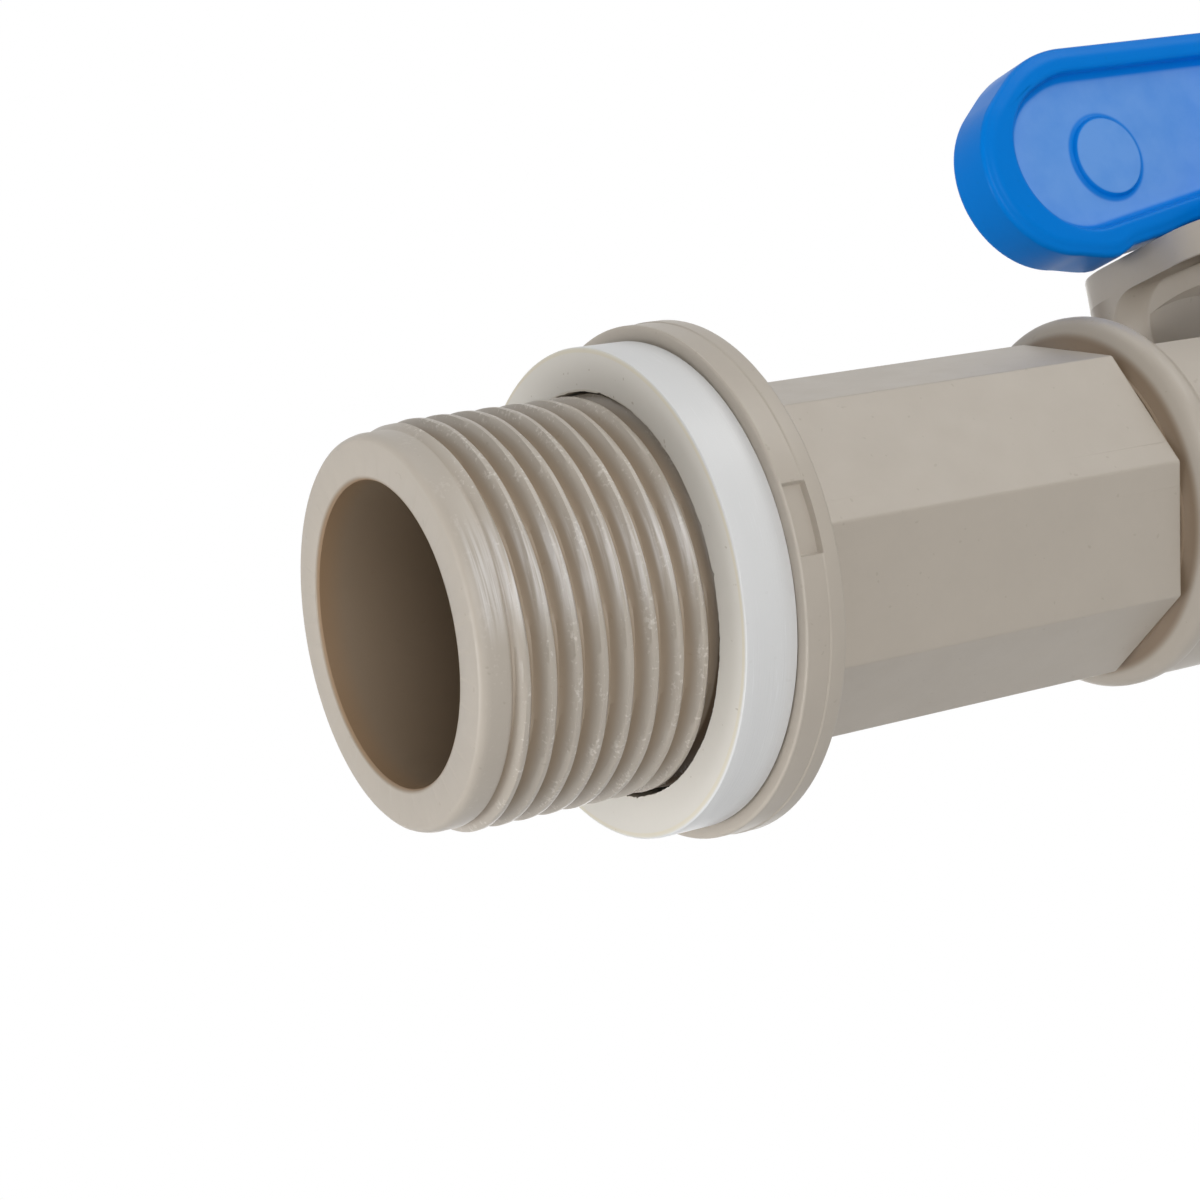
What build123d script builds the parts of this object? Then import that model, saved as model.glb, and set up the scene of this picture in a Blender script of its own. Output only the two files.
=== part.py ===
"""Quarter-turn ball valve tap with a threaded tank spigot and a push-in tube socket.

Frame: origin at the centre of the flange's sealing face, +X along the flow
towards the tube socket, +Z up along the stem to the handle. Millimetres.
"""
from math import cos, radians, sin, sqrt, tan
import os

from build123d import *

os.makedirs("parts", exist_ok=True)

# Spigot, flange and washer
thread_major_d = 26.44
thread_root_d = 24.12
last_groove_width = 1.0
spigot_length = 20.2
spigot_bore_d = 19.7
spigot_face_d = 24.6
lead_band_d = 25.5
lead_band_length = 2.0
lead_step = 0.5
flange_d = 34.7
flange_thickness = 3.0
flange_edge_round = 0.25
rim_recess_width = 4.6
rim_recess_length = 1.55
rim_recess_depth = 0.4
rim_recess_inset = 0.25
washer_d = 32.7
washer_hole_d = 26.84
washer_thickness = 4.2
washer_land_gap = 0.07

# Octagonal neck, collar and tube up to the ball housing
neck_corner_d = 25.15
neck_corner_round = 0.35
neck_length = 33.1
collar_d = 27.5
collar_width = 2.9
collar_slope = 1.3
collar_round = 0.5
collar_groove_d = 23.2
collar_groove_width = 0.4
collar_step = 0.3
bore_taper_length = 4.0
housing_taper_length = 2.0

# Ball, seats and their housing
pivot_x = 64.0
ball_d = 25.0
ball_bore_d = 17.0
ball_flat_d = 19.6
slot_width = 3.1
slot_depth = 2.3
seat_gap = 0.05
seat_depth = 4.4
seat_inset = 1.9
seat_bore_gap = 0.1
chamber_gap = 0.2
housing_wall = 2.5
seat_ring_wall = 1.35
seat_ring_section = 1.5
ring_gap = 0.03

# Pedestal under the handle
pedestal_flats = 30.2
bonnet_height = 3.9
pedestal_corner_round = 6.0
pedestal_step = 1.7
pedestal_floor_z = 6.0
plate_thickness = 2.6
post_inner_y = 2.4
relief_floor_z = 10.6
relief_floor_slope = 9.0
stop_slot_inner_r = 6.2
stop_slot_outer_r = 8.4
stop_slot_depth = 1.6
stop_tab_angle = 20.0
stop_play_angle = 1.5
stop_play = 0.15
quarter_turn = 90.0

# Stem and its seals
stem_d = 7.4
stem_bore_gap = 0.05
stem_head_d = 6.8
stem_head_flats = 5.2
stem_head_length = 9.4
shoulder_d = 10.8
shoulder_thickness = 1.5
shoulder_lift = 0.2
stem_washer_thickness = 0.5
tang_gap = 0.1
tang_width = 9.0
stem_ring_section = 1.2
stem_ring_spacing = 1.7
stem_ring_first = 0.95

# Handle, its screw and cover
handle_reach = 28.5
handle_end_low_r = 7.2
handle_end_high_r = 10.1
handle_end_low_rise = 6.9
handle_end_high_rise = 6.0
handle_end_shift = 3.4
handle_waist_rise = 2.75
handle_crown = 0.55
handle_thickness = 4.5
handle_edge_round = 0.9
handle_gap = 0.3
hub_d = 17.6
hub_thickness = 2.8
socket_boss_d = 9.6
top_boss_d = 7.4
socket_gap = 0.05
pocket_low_margin = 1.9
pocket_top_margin = 2.6
pocket_end_margin = 3.65
pocket_end_lift = 0.6
pocket_end_shift = 1.75
pocket_depth = 1.1
mark_d = 6.4
mark_height = 0.4
mark_from_pivot = 16.0
mark_rise = 7.3
screw_floor = 2.0
screw_d = 2.5
screw_length = 11.0
screw_thread_gap = 0.03
screw_hole_d = 2.9
screw_head_d = 4.7
screw_head_height = 1.7
screw_well_d = 5.0
screw_drive_across = 2.0
screw_drive_depth = 1.0
cover_thickness = 1.4
cover_gap = 0.05

# Tube socket screwed into the housing's mouth
mouth_shoulder = 0.9
mouth_rim = 0.85
mouth_length = 7.4
mouth_lead = 1.6
socket_thread_gap = 0.05
face_ring_inset = 0.65
face_ring_section = 1.5
grip_width = 2.6
socket_wall = 1.8
socket_length = 16.6
pushed_tube_d = 15.0
tube_gap = 0.12
tube_stop_from_grip = 5.8
tube_stop_step = 1.0
outlet_taper_length = 6.0
tube_ring_section = 2.4
spacer_thickness = 2.2
spacer_gap = 0.05

# Grab ring, collet and cap nut
grab_thickness = 0.4
grab_seat_width = 0.9
grab_bite = 0.25
grab_tooth_length = 1.8
grab_lean = 0.7
grab_teeth = 16
grab_slot_width = 0.9
cap_wall = 2.6
cap_thread_gap = 0.1
cap_start_from_grip = 1.4
cap_lip_length = 4.0
cap_edge_round = 0.8
cap_flutes = 20
cap_flute_d = 3.2
cap_flute_depth = 0.7
collet_wall = 1.35
collet_bead = 0.6
collet_bead_length = 1.2
collet_gap = 0.1
collet_nose_gap = 1.1
collet_stand_out = 2.0
collet_head_overhang = 2.5
collet_head_thickness = 2.4
collet_head_round = 0.7
collet_slot_width = 1.2
collet_slot_length = 6.5

# Places worked out from the sizes above
neck_end_x = flange_thickness + neck_length
collar_end_x = neck_end_x + collar_width
tube_d = collar_d - 2 * collar_step
chamber_d = ball_d + 2 * chamber_gap
seat_back = ball_d / 2 - seat_inset
seat_bore_d = ball_bore_d + 2 * seat_bore_gap
seat_ring_d = chamber_d - 2 * seat_ring_wall - seat_ring_section
seat_floor_x = pivot_x - seat_back
housing_front_x = seat_floor_x - housing_wall
housing_d = chamber_d + 2 * housing_wall
socket_front_x = pivot_x + seat_back
mouth_end_x = socket_front_x + mouth_length
stem_bore_r = stem_d / 2 + stem_bore_gap
shoulder_low_z = ball_d / 2 + shoulder_lift
washer_low_z = shoulder_low_z + shoulder_thickness
washer_high_z = washer_low_z + stem_washer_thickness
pedestal_top_z = washer_high_z + bonnet_height
plate_low_z = pedestal_top_z - plate_thickness
core_half_flats = pedestal_flats / 2 - pedestal_step
head_top_z = pedestal_top_z + stem_head_length
handle_low_z = pedestal_top_z + handle_gap
hub_top_z = handle_low_z + hub_thickness
handle_waist_low_z = pedestal_top_z + handle_waist_rise
handle_end_low_z = pedestal_top_z + handle_end_low_rise
handle_end_high_z = pedestal_top_z + handle_end_high_rise
handle_high_z = handle_end_high_z + handle_end_high_r + handle_crown
socket_top_z = head_top_z + socket_gap
well_floor_z = socket_top_z + screw_floor
mouth_thread_d = chamber_d + 2 * mouth_shoulder
face_ring_d = mouth_thread_d + 2 * face_ring_inset + face_ring_section
mouth_d = face_ring_d + face_ring_section + 2 * mouth_rim
outlet_bore_d = pushed_tube_d - 2 * tube_stop_step
seal_bore_d = pushed_tube_d + 2 * tube_ring_section
socket_tube_d = seal_bore_d + 2 * socket_wall
grab_tip_d = pushed_tube_d - 2 * grab_bite
grab_root_d = pushed_tube_d + 2 * grab_tooth_length
grab_outer_d = seal_bore_d + 2 * grab_seat_width
cap_d = socket_tube_d + 2 * cap_thread_gap + 2 * cap_wall
grip_end_x = mouth_end_x + grip_width
socket_end_x = grip_end_x + socket_length
tube_stop_x = grip_end_x + tube_stop_from_grip
seal_floor_x = socket_end_x - tube_ring_section - spacer_thickness - 2 * spacer_gap
tube_bore_r = pushed_tube_d / 2 + tube_gap
cap_shoulder_x = socket_end_x + grab_thickness
cap_start_x = grip_end_x + cap_start_from_grip
collet_nose_x = cap_shoulder_x + collet_nose_gap
collet_outer_r = tube_bore_r + collet_wall
cap_lip_x = collet_nose_x + collet_bead_length + collet_gap
cap_end_x = cap_lip_x + cap_lip_length
collet_head_x = cap_end_x + collet_stand_out
collet_head_d = 2 * (collet_outer_r + collet_head_overhang)
stem_axis = Axis((pivot_x, 0, 0), (0, 0, 1))


def ring_section(x0, x1, r0, r1, mode=Mode.ADD):
    """Rectangle between two stations along an axis and two radii."""
    with Locations(((x0 + x1) / 2, (r0 + r1) / 2)):
        Rectangle(abs(x1 - x0), r1 - r0, mode=mode)


def bead_section(centre_x, mean_d, section_d):
    """Round section of a rubber ring about the flow axis."""
    with Locations((centre_x, mean_d / 2)):
        Circle(section_d / 2)


def turned_section(*points):
    """Half section of a turned form, given by its corners."""
    Polygon(*points, align=None)


# Body: spigot, flange, neck, housing and pedestal in one moulding
with BuildPart() as valve_body:
    # Plain envelope of the thread, with its lead-in band and the land under the washer
    with BuildSketch(Plane.XZ):
        turned_section(
            (-spigot_length, 0),
            (-spigot_length, spigot_face_d / 2),
            (-spigot_length + lead_step, lead_band_d / 2),
            (-spigot_length + lead_band_length, lead_band_d / 2),
            (-spigot_length + lead_band_length + lead_step, thread_major_d / 2),
            (-washer_thickness, thread_major_d / 2),
            (-washer_thickness, thread_root_d / 2),
            (-washer_thickness + last_groove_width, thread_root_d / 2),
            (-washer_thickness + last_groove_width, washer_hole_d / 2 - washer_land_gap),
            (0, washer_hole_d / 2 - washer_land_gap),
            (0, 0),
        )
    revolve(axis=Axis.X)
    # Flange with softened edges
    with BuildSketch(Plane.XZ) as flange_section:
        ring_section(0, flange_thickness, 0, flange_d / 2)
        fillet(flange_section.vertices().group_by(Axis.Y)[-1], flange_edge_round)
    revolve(axis=Axis.X)
    # Octagonal neck, one corner towards -Y and one towards +Z
    with BuildSketch(Plane.YZ.offset(flange_thickness)) as neck_section:
        RegularPolygon(neck_corner_d / 2, 8)
        fillet(neck_section.vertices(), neck_corner_round)
    extrude(amount=neck_length)
    # Groove behind the octagon's end, and the collar that rises from it
    with BuildSketch(Plane.XZ) as collar_section:
        turned_section(
            (neck_end_x, 0),
            (neck_end_x, collar_groove_d / 2),
            (neck_end_x + collar_groove_width, collar_groove_d / 2),
            (neck_end_x + collar_slope, collar_d / 2),
            (collar_end_x, collar_d / 2),
            (collar_end_x, 0),
        )
        fillet(collar_section.vertices().group_by(Axis.Y)[-1], collar_round)
    revolve(axis=Axis.X)
    # Tube, ball housing and mouth
    with BuildSketch(Plane.XZ):
        turned_section(
            (collar_end_x - collar_round, 0),
            (collar_end_x - collar_round, tube_d / 2),
            (housing_front_x - housing_taper_length / 2, tube_d / 2),
            (housing_front_x + housing_taper_length / 2, housing_d / 2),
            (socket_front_x - mouth_lead, housing_d / 2),
            (socket_front_x, mouth_d / 2),
            (mouth_end_x, mouth_d / 2),
            (mouth_end_x, 0),
        )
    revolve(axis=Axis.X)
    # Pedestal core
    with BuildSketch(Plane.XY.offset(pedestal_floor_z)) as core_section:
        with Locations((pivot_x, 0)):
            RegularPolygon(core_half_flats, 8, major_radius=False, rotation=22.5)
        fillet(core_section.vertices(), pedestal_corner_round - pedestal_step)
    extrude(amount=plate_low_z - pedestal_floor_z)
    # Octagonal plate that the handle turns on
    with BuildSketch(Plane.XY.offset(plate_low_z)) as plate_section:
        with Locations((pivot_x, 0)):
            RegularPolygon(pedestal_flats / 2, 8, major_radius=False, rotation=22.5)
        fillet(plate_section.vertices(), pedestal_corner_round)
    extrude(amount=plate_thickness)
    # Half of the plate's outline runs down to the housing on each post
    with BuildSketch(Plane.XY.offset(pedestal_floor_z)) as post_section:
        with Locations((pivot_x, 0)):
            RegularPolygon(pedestal_flats / 2, 8, major_radius=False, rotation=22.5)
        fillet(post_section.vertices(), pedestal_corner_round)
        for side in (-1, 1):
            with Locations((pivot_x + side * pedestal_flats / 2, side * (pedestal_flats - post_inner_y))):
                Rectangle(pedestal_flats, 2 * pedestal_flats, mode=Mode.SUBTRACT)
    extrude(amount=plate_low_z - pedestal_floor_z)
    # Relief between the collar and the pedestal's core, beside the inlet side's post
    relief_floor_rise = tan(radians(relief_floor_slope))
    with BuildSketch(Plane.YZ.offset(collar_end_x)):
        turned_section(
            (-flange_d, relief_floor_z - flange_d * relief_floor_rise),
            (post_inner_y, relief_floor_z + post_inner_y * relief_floor_rise),
            (post_inner_y, plate_low_z),
            (-flange_d, plate_low_z),
        )
    extrude(amount=pivot_x - core_half_flats - collar_end_x, mode=Mode.SUBTRACT)
    # Waterway, seat floor, ball chamber and threaded mouth
    with BuildSketch(Plane.XZ):
        turned_section(
            (-spigot_length, 0),
            (-spigot_length, spigot_bore_d / 2),
            (neck_end_x - bore_taper_length, spigot_bore_d / 2),
            (neck_end_x, ball_bore_d / 2),
            (seat_floor_x, ball_bore_d / 2),
            (seat_floor_x, chamber_d / 2),
            (socket_front_x, chamber_d / 2),
            (socket_front_x, mouth_thread_d / 2),
            (mouth_end_x, mouth_thread_d / 2),
            (mouth_end_x, 0),
        )
    revolve(axis=Axis.X, mode=Mode.SUBTRACT)
    # Groove in the mouth's end face for the face ring
    with BuildSketch(Plane.XZ):
        ring_section(
            mouth_end_x - face_ring_section,
            mouth_end_x,
            (face_ring_d - face_ring_section) / 2 - ring_gap,
            (face_ring_d + face_ring_section) / 2 + ring_gap,
        )
    revolve(axis=Axis.X, mode=Mode.SUBTRACT)
    # Stem bore, and the counterbore for its shoulder and washer
    with BuildSketch(Plane.XY):
        with Locations((pivot_x, 0)):
            Circle(stem_bore_r)
    extrude(amount=pedestal_top_z, mode=Mode.SUBTRACT)
    with BuildSketch(Plane.XY):
        with Locations((pivot_x, 0)):
            Circle(shoulder_d / 2 + stem_bore_gap)
    extrude(amount=washer_high_z, mode=Mode.SUBTRACT)
    # Arc slot in which the handle's stop tab swings
    slot_half_angle = radians((quarter_turn + stop_tab_angle) / 2 + stop_play_angle)
    slot_reach = 2 * stop_slot_outer_r
    with BuildSketch(Plane.XY.offset(pedestal_top_z)):
        with Locations((pivot_x, 0)):
            Circle(stop_slot_outer_r)
            Circle(stop_slot_inner_r, mode=Mode.SUBTRACT)
            Polygon(
                (0, 0),
                (slot_reach * cos(slot_half_angle), -slot_reach * sin(slot_half_angle)),
                (2 * slot_reach, 0),
                (slot_reach * cos(slot_half_angle), slot_reach * sin(slot_half_angle)),
                align=None,
                mode=Mode.INTERSECT,
            )
    extrude(amount=-stop_slot_depth, mode=Mode.SUBTRACT)
    # Rectangular recess on the flange's rim
    with BuildSketch(Plane.XZ.offset(flange_d / 2 - rim_recess_depth)):
        with Locations((rim_recess_inset + rim_recess_length / 2, 0)):
            Rectangle(rim_recess_length, rim_recess_width)
    extrude(amount=2 * rim_recess_depth, mode=Mode.SUBTRACT)
valve_body.part.label = "valve_body"
export_step(valve_body.part, "parts/valve_body.step")

# Flat rubber washer on the spigot, against the flange
with BuildPart() as inlet_washer:
    with BuildSketch(Plane.YZ.offset(-washer_thickness)):
        Circle(washer_d / 2)
        Circle(washer_hole_d / 2, mode=Mode.SUBTRACT)
    extrude(amount=washer_thickness)
inlet_washer.part.label = "inlet_washer"
export_step(inlet_washer.part, "parts/inlet_washer.step")

# Ball with its waterway along the flow and the stem's slot across it
with BuildPart() as ball:
    flat_x = sqrt(ball_d**2 - ball_flat_d**2)
    with Locations((pivot_x, 0, 0)):
        Sphere(ball_d / 2)
        Box(flat_x, ball_d, ball_d, mode=Mode.INTERSECT)
        Cylinder(ball_bore_d / 2, ball_d, rotation=(0, 90, 0), mode=Mode.SUBTRACT)
    with Locations((pivot_x, 0, (ball_d - slot_depth) / 2)):
        Box(slot_width, ball_d, slot_depth, mode=Mode.SUBTRACT)
ball.part.label = "ball"
export_step(ball.part, "parts/ball.step")


def seat_section(side):
    """Half section of a seat ring; side is -1 on the inlet and 1 on the outlet."""
    back_x = pivot_x + side * (seat_back - seat_gap)
    front_x = pivot_x + side * (seat_back - seat_depth)
    ring_section(back_x, front_x, seat_bore_d / 2, chamber_d / 2 - seat_gap)
    with Locations((pivot_x, 0)):
        Circle(ball_d / 2 + seat_gap, mode=Mode.SUBTRACT)
    ring_section(
        back_x,
        back_x - side * seat_ring_section,
        (seat_ring_d - seat_ring_section) / 2 - ring_gap,
        (seat_ring_d + seat_ring_section) / 2 + ring_gap,
        mode=Mode.SUBTRACT,
    )


# Seat ring on the inlet side
with BuildPart() as inlet_seat:
    with BuildSketch(Plane.XZ):
        seat_section(-1)
    revolve(axis=Axis.X)
inlet_seat.part.label = "inlet_seat"
export_step(inlet_seat.part, "parts/inlet_seat.step")

# Seat ring on the outlet side
with BuildPart() as outlet_seat:
    with BuildSketch(Plane.XZ):
        seat_section(1)
    revolve(axis=Axis.X)
outlet_seat.part.label = "outlet_seat"
export_step(outlet_seat.part, "parts/outlet_seat.step")

# Rubber ring that springs the inlet seat onto the ball
with BuildPart() as inlet_seat_ring:
    with BuildSketch(Plane.XZ):
        bead_section(seat_floor_x + seat_ring_section / 2, seat_ring_d, seat_ring_section - ring_gap)
    revolve(axis=Axis.X)
inlet_seat_ring.part.label = "inlet_seat_ring"
export_step(inlet_seat_ring.part, "parts/inlet_seat_ring.step")

# Rubber ring that springs the outlet seat onto the ball
with BuildPart() as outlet_seat_ring:
    with BuildSketch(Plane.XZ):
        bead_section(socket_front_x - seat_ring_section / 2, seat_ring_d, seat_ring_section - ring_gap)
    revolve(axis=Axis.X)
outlet_seat_ring.part.label = "outlet_seat_ring"
export_step(outlet_seat_ring.part, "parts/outlet_seat_ring.step")

# Heights of the two rubber rings on the stem
stem_ring_heights = [washer_high_z + stem_ring_first + i * stem_ring_spacing for i in range(2)]
stem_ring_mean_d = 2 * stem_bore_r - stem_ring_section - ring_gap

# Stem with its tang, shoulder, ring grooves and flatted head
with BuildPart() as stem:
    with BuildSketch(Plane.XZ):
        with Locations((pivot_x, 0)):
            turned_section(
                (0, shoulder_low_z),
                (shoulder_d / 2, shoulder_low_z),
                (shoulder_d / 2, washer_low_z),
                (stem_d / 2, washer_low_z),
                (stem_d / 2, pedestal_top_z),
                (stem_head_d / 2, pedestal_top_z),
                (stem_head_d / 2, head_top_z),
                (0, head_top_z),
            )
    revolve(axis=stem_axis)
    # Two flats on the head
    with BuildSketch(Plane.XY.offset(pedestal_top_z)):
        for side in (-1, 1):
            with Locations((pivot_x, side * (stem_head_flats + stem_head_d) / 2)):
                Rectangle(2 * stem_head_d, stem_head_d, mode=Mode.ADD)
    extrude(amount=stem_head_length, mode=Mode.SUBTRACT)
    # Tang that turns the ball
    with BuildSketch(Plane.XY.offset(ball_d / 2 - slot_depth + tang_gap)):
        with Locations((pivot_x, 0)):
            Rectangle(slot_width - 2 * tang_gap, tang_width)
    extrude(amount=slot_depth + shoulder_lift - tang_gap)
    # Grooves for the rubber rings
    groove_r = (stem_ring_mean_d - stem_ring_section - ring_gap) / 2
    groove_half_width = (stem_ring_section + ring_gap) / 2
    with BuildSketch(Plane.XZ):
        with Locations((pivot_x, 0)):
            for height in stem_ring_heights:
                turned_section(
                    (groove_r, height - groove_half_width),
                    (groove_r, height + groove_half_width),
                    (stem_bore_r, height + groove_half_width),
                    (stem_bore_r, height - groove_half_width),
                )
    revolve(axis=stem_axis, mode=Mode.SUBTRACT)
    # Hole for the handle's screw
    with BuildSketch(Plane.XY.offset(head_top_z)):
        with Locations((pivot_x, 0)):
            Circle(screw_d / 2 + screw_thread_gap)
    extrude(amount=-(screw_length - screw_floor), mode=Mode.SUBTRACT)
stem.part.label = "stem"
export_step(stem.part, "parts/stem.step")

# Thrust washer between the stem's shoulder and the body
with BuildPart() as stem_washer:
    with BuildSketch(Plane.XY.offset(washer_low_z)):
        with Locations((pivot_x, 0)):
            Circle(shoulder_d / 2)
            Circle(stem_bore_r, mode=Mode.SUBTRACT)
    extrude(amount=stem_washer_thickness)
stem_washer.part.label = "stem_washer"
export_step(stem_washer.part, "parts/stem_washer.step")


def stem_ring_section_at(height):
    """Round section of a rubber ring about the stem axis."""
    with Locations((pivot_x + stem_ring_mean_d / 2, height)):
        Circle(stem_ring_section / 2)


# Lower rubber ring on the stem
with BuildPart() as stem_ring_lower:
    with BuildSketch(Plane.XZ):
        stem_ring_section_at(stem_ring_heights[0])
    revolve(axis=stem_axis)
stem_ring_lower.part.label = "stem_ring_lower"
export_step(stem_ring_lower.part, "parts/stem_ring_lower.step")

# Upper rubber ring on the stem
with BuildPart() as stem_ring_upper:
    with BuildSketch(Plane.XZ):
        stem_ring_section_at(stem_ring_heights[1])
    revolve(axis=stem_axis)
stem_ring_upper.part.label = "stem_ring_upper"
export_step(stem_ring_upper.part, "parts/stem_ring_upper.step")


def two_winged_outline(reach, low_r, high_r, low_z, high_z, shift, waist_low_z, waist_high_z):
    """Outline with a round end on each side of the stem axis and a waist on it."""
    for side in (-1, 1):
        end_x = pivot_x + side * (reach - low_r)
        with BuildLine() as wing:
            CenterArc((end_x, low_z), low_r, 0, 360)
            CenterArc((end_x - side * shift, high_z), high_r, 0, 180)
            Line((pivot_x, waist_low_z), (pivot_x, waist_high_z))
        make_hull(wing.edges())


def pocket_outline():
    """Pocket in both wings of one face."""
    two_winged_outline(
        handle_reach - pocket_end_margin,
        handle_end_low_r - pocket_low_margin,
        handle_end_high_r - pocket_low_margin,
        handle_end_low_z + pocket_end_lift,
        handle_end_high_z - pocket_end_lift,
        pocket_end_shift,
        handle_waist_low_z + pocket_low_margin,
        handle_high_z - pocket_top_margin,
    )


# Handle: two wings on a hub, with a pocket in each face
with BuildPart() as handle:
    with BuildSketch(Plane.XZ.offset(-handle_thickness / 2)):
        two_winged_outline(
            handle_reach,
            handle_end_low_r,
            handle_end_high_r,
            handle_end_low_z,
            handle_end_high_z,
            handle_end_shift,
            handle_waist_low_z,
            handle_high_z,
        )
    extrude(amount=handle_thickness)
    fillet(handle.faces().filter_by(Axis.Y).edges(), handle_edge_round)
    with BuildSketch(Plane.XZ.offset(handle_thickness / 2)):
        pocket_outline()
    extrude(amount=-pocket_depth, mode=Mode.SUBTRACT)
    with BuildSketch(Plane.XZ.offset(-handle_thickness / 2)):
        pocket_outline()
    extrude(amount=pocket_depth, mode=Mode.SUBTRACT)
    # Round marks that stand a little above the floors of both pockets
    mark_top_y = handle_thickness / 2 - pocket_depth + mark_height
    with BuildSketch(Plane.XZ.offset(mark_top_y)):
        for side in (-1, 1):
            with Locations((pivot_x + side * mark_from_pivot, pedestal_top_z + mark_rise)):
                Circle(mark_d / 2)
    extrude(amount=-2 * mark_top_y)
    # Hub on the pedestal, boss round the stem's head and boss round the screw
    with BuildSketch(Plane.XZ):
        with Locations((pivot_x, 0)):
            turned_section(
                (0, handle_low_z),
                (hub_d / 2, handle_low_z),
                (hub_d / 2, hub_top_z),
                (socket_boss_d / 2, hub_top_z),
                (socket_boss_d / 2, socket_top_z),
                (top_boss_d / 2, well_floor_z),
                (top_boss_d / 2, handle_high_z),
                (0, handle_high_z),
            )
    revolve(axis=stem_axis)
    # Stop tab under the hub, in the middle of its swing when half turned
    tab_half_angle = radians(stop_tab_angle / 2)
    with BuildSketch(Plane.XY.offset(pedestal_top_z - stop_slot_depth + stop_play)):
        with Locations(Location((pivot_x, 0, 0), quarter_turn / 2)):
            Circle(stop_slot_outer_r - stop_play)
            Circle(stop_slot_inner_r + stop_play, mode=Mode.SUBTRACT)
            Polygon(
                (0, 0),
                (slot_reach, -slot_reach * tan(tab_half_angle)),
                (slot_reach, slot_reach * tan(tab_half_angle)),
                align=None,
                mode=Mode.INTERSECT,
            )
    extrude(amount=stop_slot_depth - stop_play + handle_gap + hub_thickness / 2)
    # Socket for the flatted head
    with BuildSketch(Plane.XY.offset(handle_low_z)):
        with Locations((pivot_x, 0)):
            Circle(stem_head_d / 2 + socket_gap)
            Rectangle(2 * stem_head_d, stem_head_flats + 2 * socket_gap, mode=Mode.INTERSECT)
    extrude(amount=socket_top_z - handle_low_z, mode=Mode.SUBTRACT)
    # Hole and well for the screw
    with BuildSketch(Plane.XY.offset(handle_low_z)):
        with Locations((pivot_x, 0)):
            Circle(screw_hole_d / 2)
    extrude(amount=handle_high_z - handle_low_z, mode=Mode.SUBTRACT)
    with BuildSketch(Plane.XY.offset(well_floor_z)):
        with Locations((pivot_x, 0)):
            Circle(screw_well_d / 2)
    extrude(amount=handle_high_z - well_floor_z, mode=Mode.SUBTRACT)
handle.part.label = "handle"
export_step(handle.part, "parts/handle.step")

# Screw that holds the handle on the stem
with BuildPart() as handle_screw:
    with BuildSketch(Plane.XY.offset(well_floor_z)):
        with Locations((pivot_x, 0)):
            Circle(screw_d / 2)
    extrude(amount=-screw_length)
    with BuildSketch(Plane.XY.offset(well_floor_z)):
        with Locations((pivot_x, 0)):
            Circle(screw_head_d / 2)
    extrude(amount=screw_head_height)
    with BuildSketch(Plane.XY.offset(well_floor_z + screw_head_height)):
        with Locations((pivot_x, 0)):
            RegularPolygon(screw_drive_across / 2, 6, major_radius=False)
    extrude(amount=-screw_drive_depth, mode=Mode.SUBTRACT)
handle_screw.part.label = "handle_screw"
export_step(handle_screw.part, "parts/handle_screw.step")

# Cover pressed into the mouth of the screw's well
with BuildPart() as handle_cover:
    with BuildSketch(Plane.XY.offset(handle_high_z)):
        with Locations((pivot_x, 0)):
            Circle(screw_well_d / 2 - cover_gap)
    extrude(amount=-cover_thickness)
handle_cover.part.label = "handle_cover"
export_step(handle_cover.part, "parts/handle_cover.step")

# Tube socket: threaded nose, octagonal grip and bored tube
with BuildPart() as tube_socket:
    with BuildSketch(Plane.XZ):
        ring_section(socket_front_x, mouth_end_x, 0, mouth_thread_d / 2 - socket_thread_gap)
        ring_section(grip_end_x, socket_end_x, 0, socket_tube_d / 2)
    revolve(axis=Axis.X)
    with BuildSketch(Plane.YZ.offset(mouth_end_x)):
        RegularPolygon(mouth_d / 2, 8, major_radius=False, rotation=22.5)
    extrude(amount=grip_width)
    with BuildSketch(Plane.XZ):
        turned_section(
            (socket_front_x, 0),
            (socket_front_x, ball_bore_d / 2),
            (socket_front_x + outlet_taper_length, outlet_bore_d / 2),
            (tube_stop_x, outlet_bore_d / 2),
            (tube_stop_x, tube_bore_r),
            (seal_floor_x, tube_bore_r),
            (seal_floor_x, seal_bore_d / 2),
            (socket_end_x, seal_bore_d / 2),
            (socket_end_x, 0),
        )
    revolve(axis=Axis.X, mode=Mode.SUBTRACT)
tube_socket.part.label = "tube_socket"
export_step(tube_socket.part, "parts/tube_socket.step")

# Rubber ring between the mouth's end face and the grip
with BuildPart() as face_ring:
    with BuildSketch(Plane.XZ):
        bead_section(mouth_end_x - face_ring_section / 2, face_ring_d, face_ring_section - ring_gap)
    revolve(axis=Axis.X)
face_ring.part.label = "face_ring"
export_step(face_ring.part, "parts/face_ring.step")

# Rubber ring that seals on the pushed-in tube
with BuildPart() as tube_ring:
    with BuildSketch(Plane.XZ):
        bead_section(
            seal_floor_x + tube_ring_section / 2,
            seal_bore_d - tube_ring_section - ring_gap,
            tube_ring_section - ring_gap,
        )
    revolve(axis=Axis.X)
tube_ring.part.label = "tube_ring"
export_step(tube_ring.part, "parts/tube_ring.step")

# Spacer that holds the rubber ring away from the grab ring's teeth
with BuildPart() as ring_spacer:
    spacer_end_x = socket_end_x - spacer_gap
    with BuildSketch(Plane.XZ):
        turned_section(
            (spacer_end_x - spacer_thickness, tube_bore_r),
            (spacer_end_x - spacer_thickness, seal_bore_d / 2 - spacer_gap),
            (spacer_end_x, seal_bore_d / 2 - spacer_gap),
            (spacer_end_x, grab_root_d / 2),
            (spacer_end_x - grab_lean, tube_bore_r),
        )
    revolve(axis=Axis.X)
ring_spacer.part.label = "ring_spacer"
export_step(ring_spacer.part, "parts/ring_spacer.step")

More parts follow.
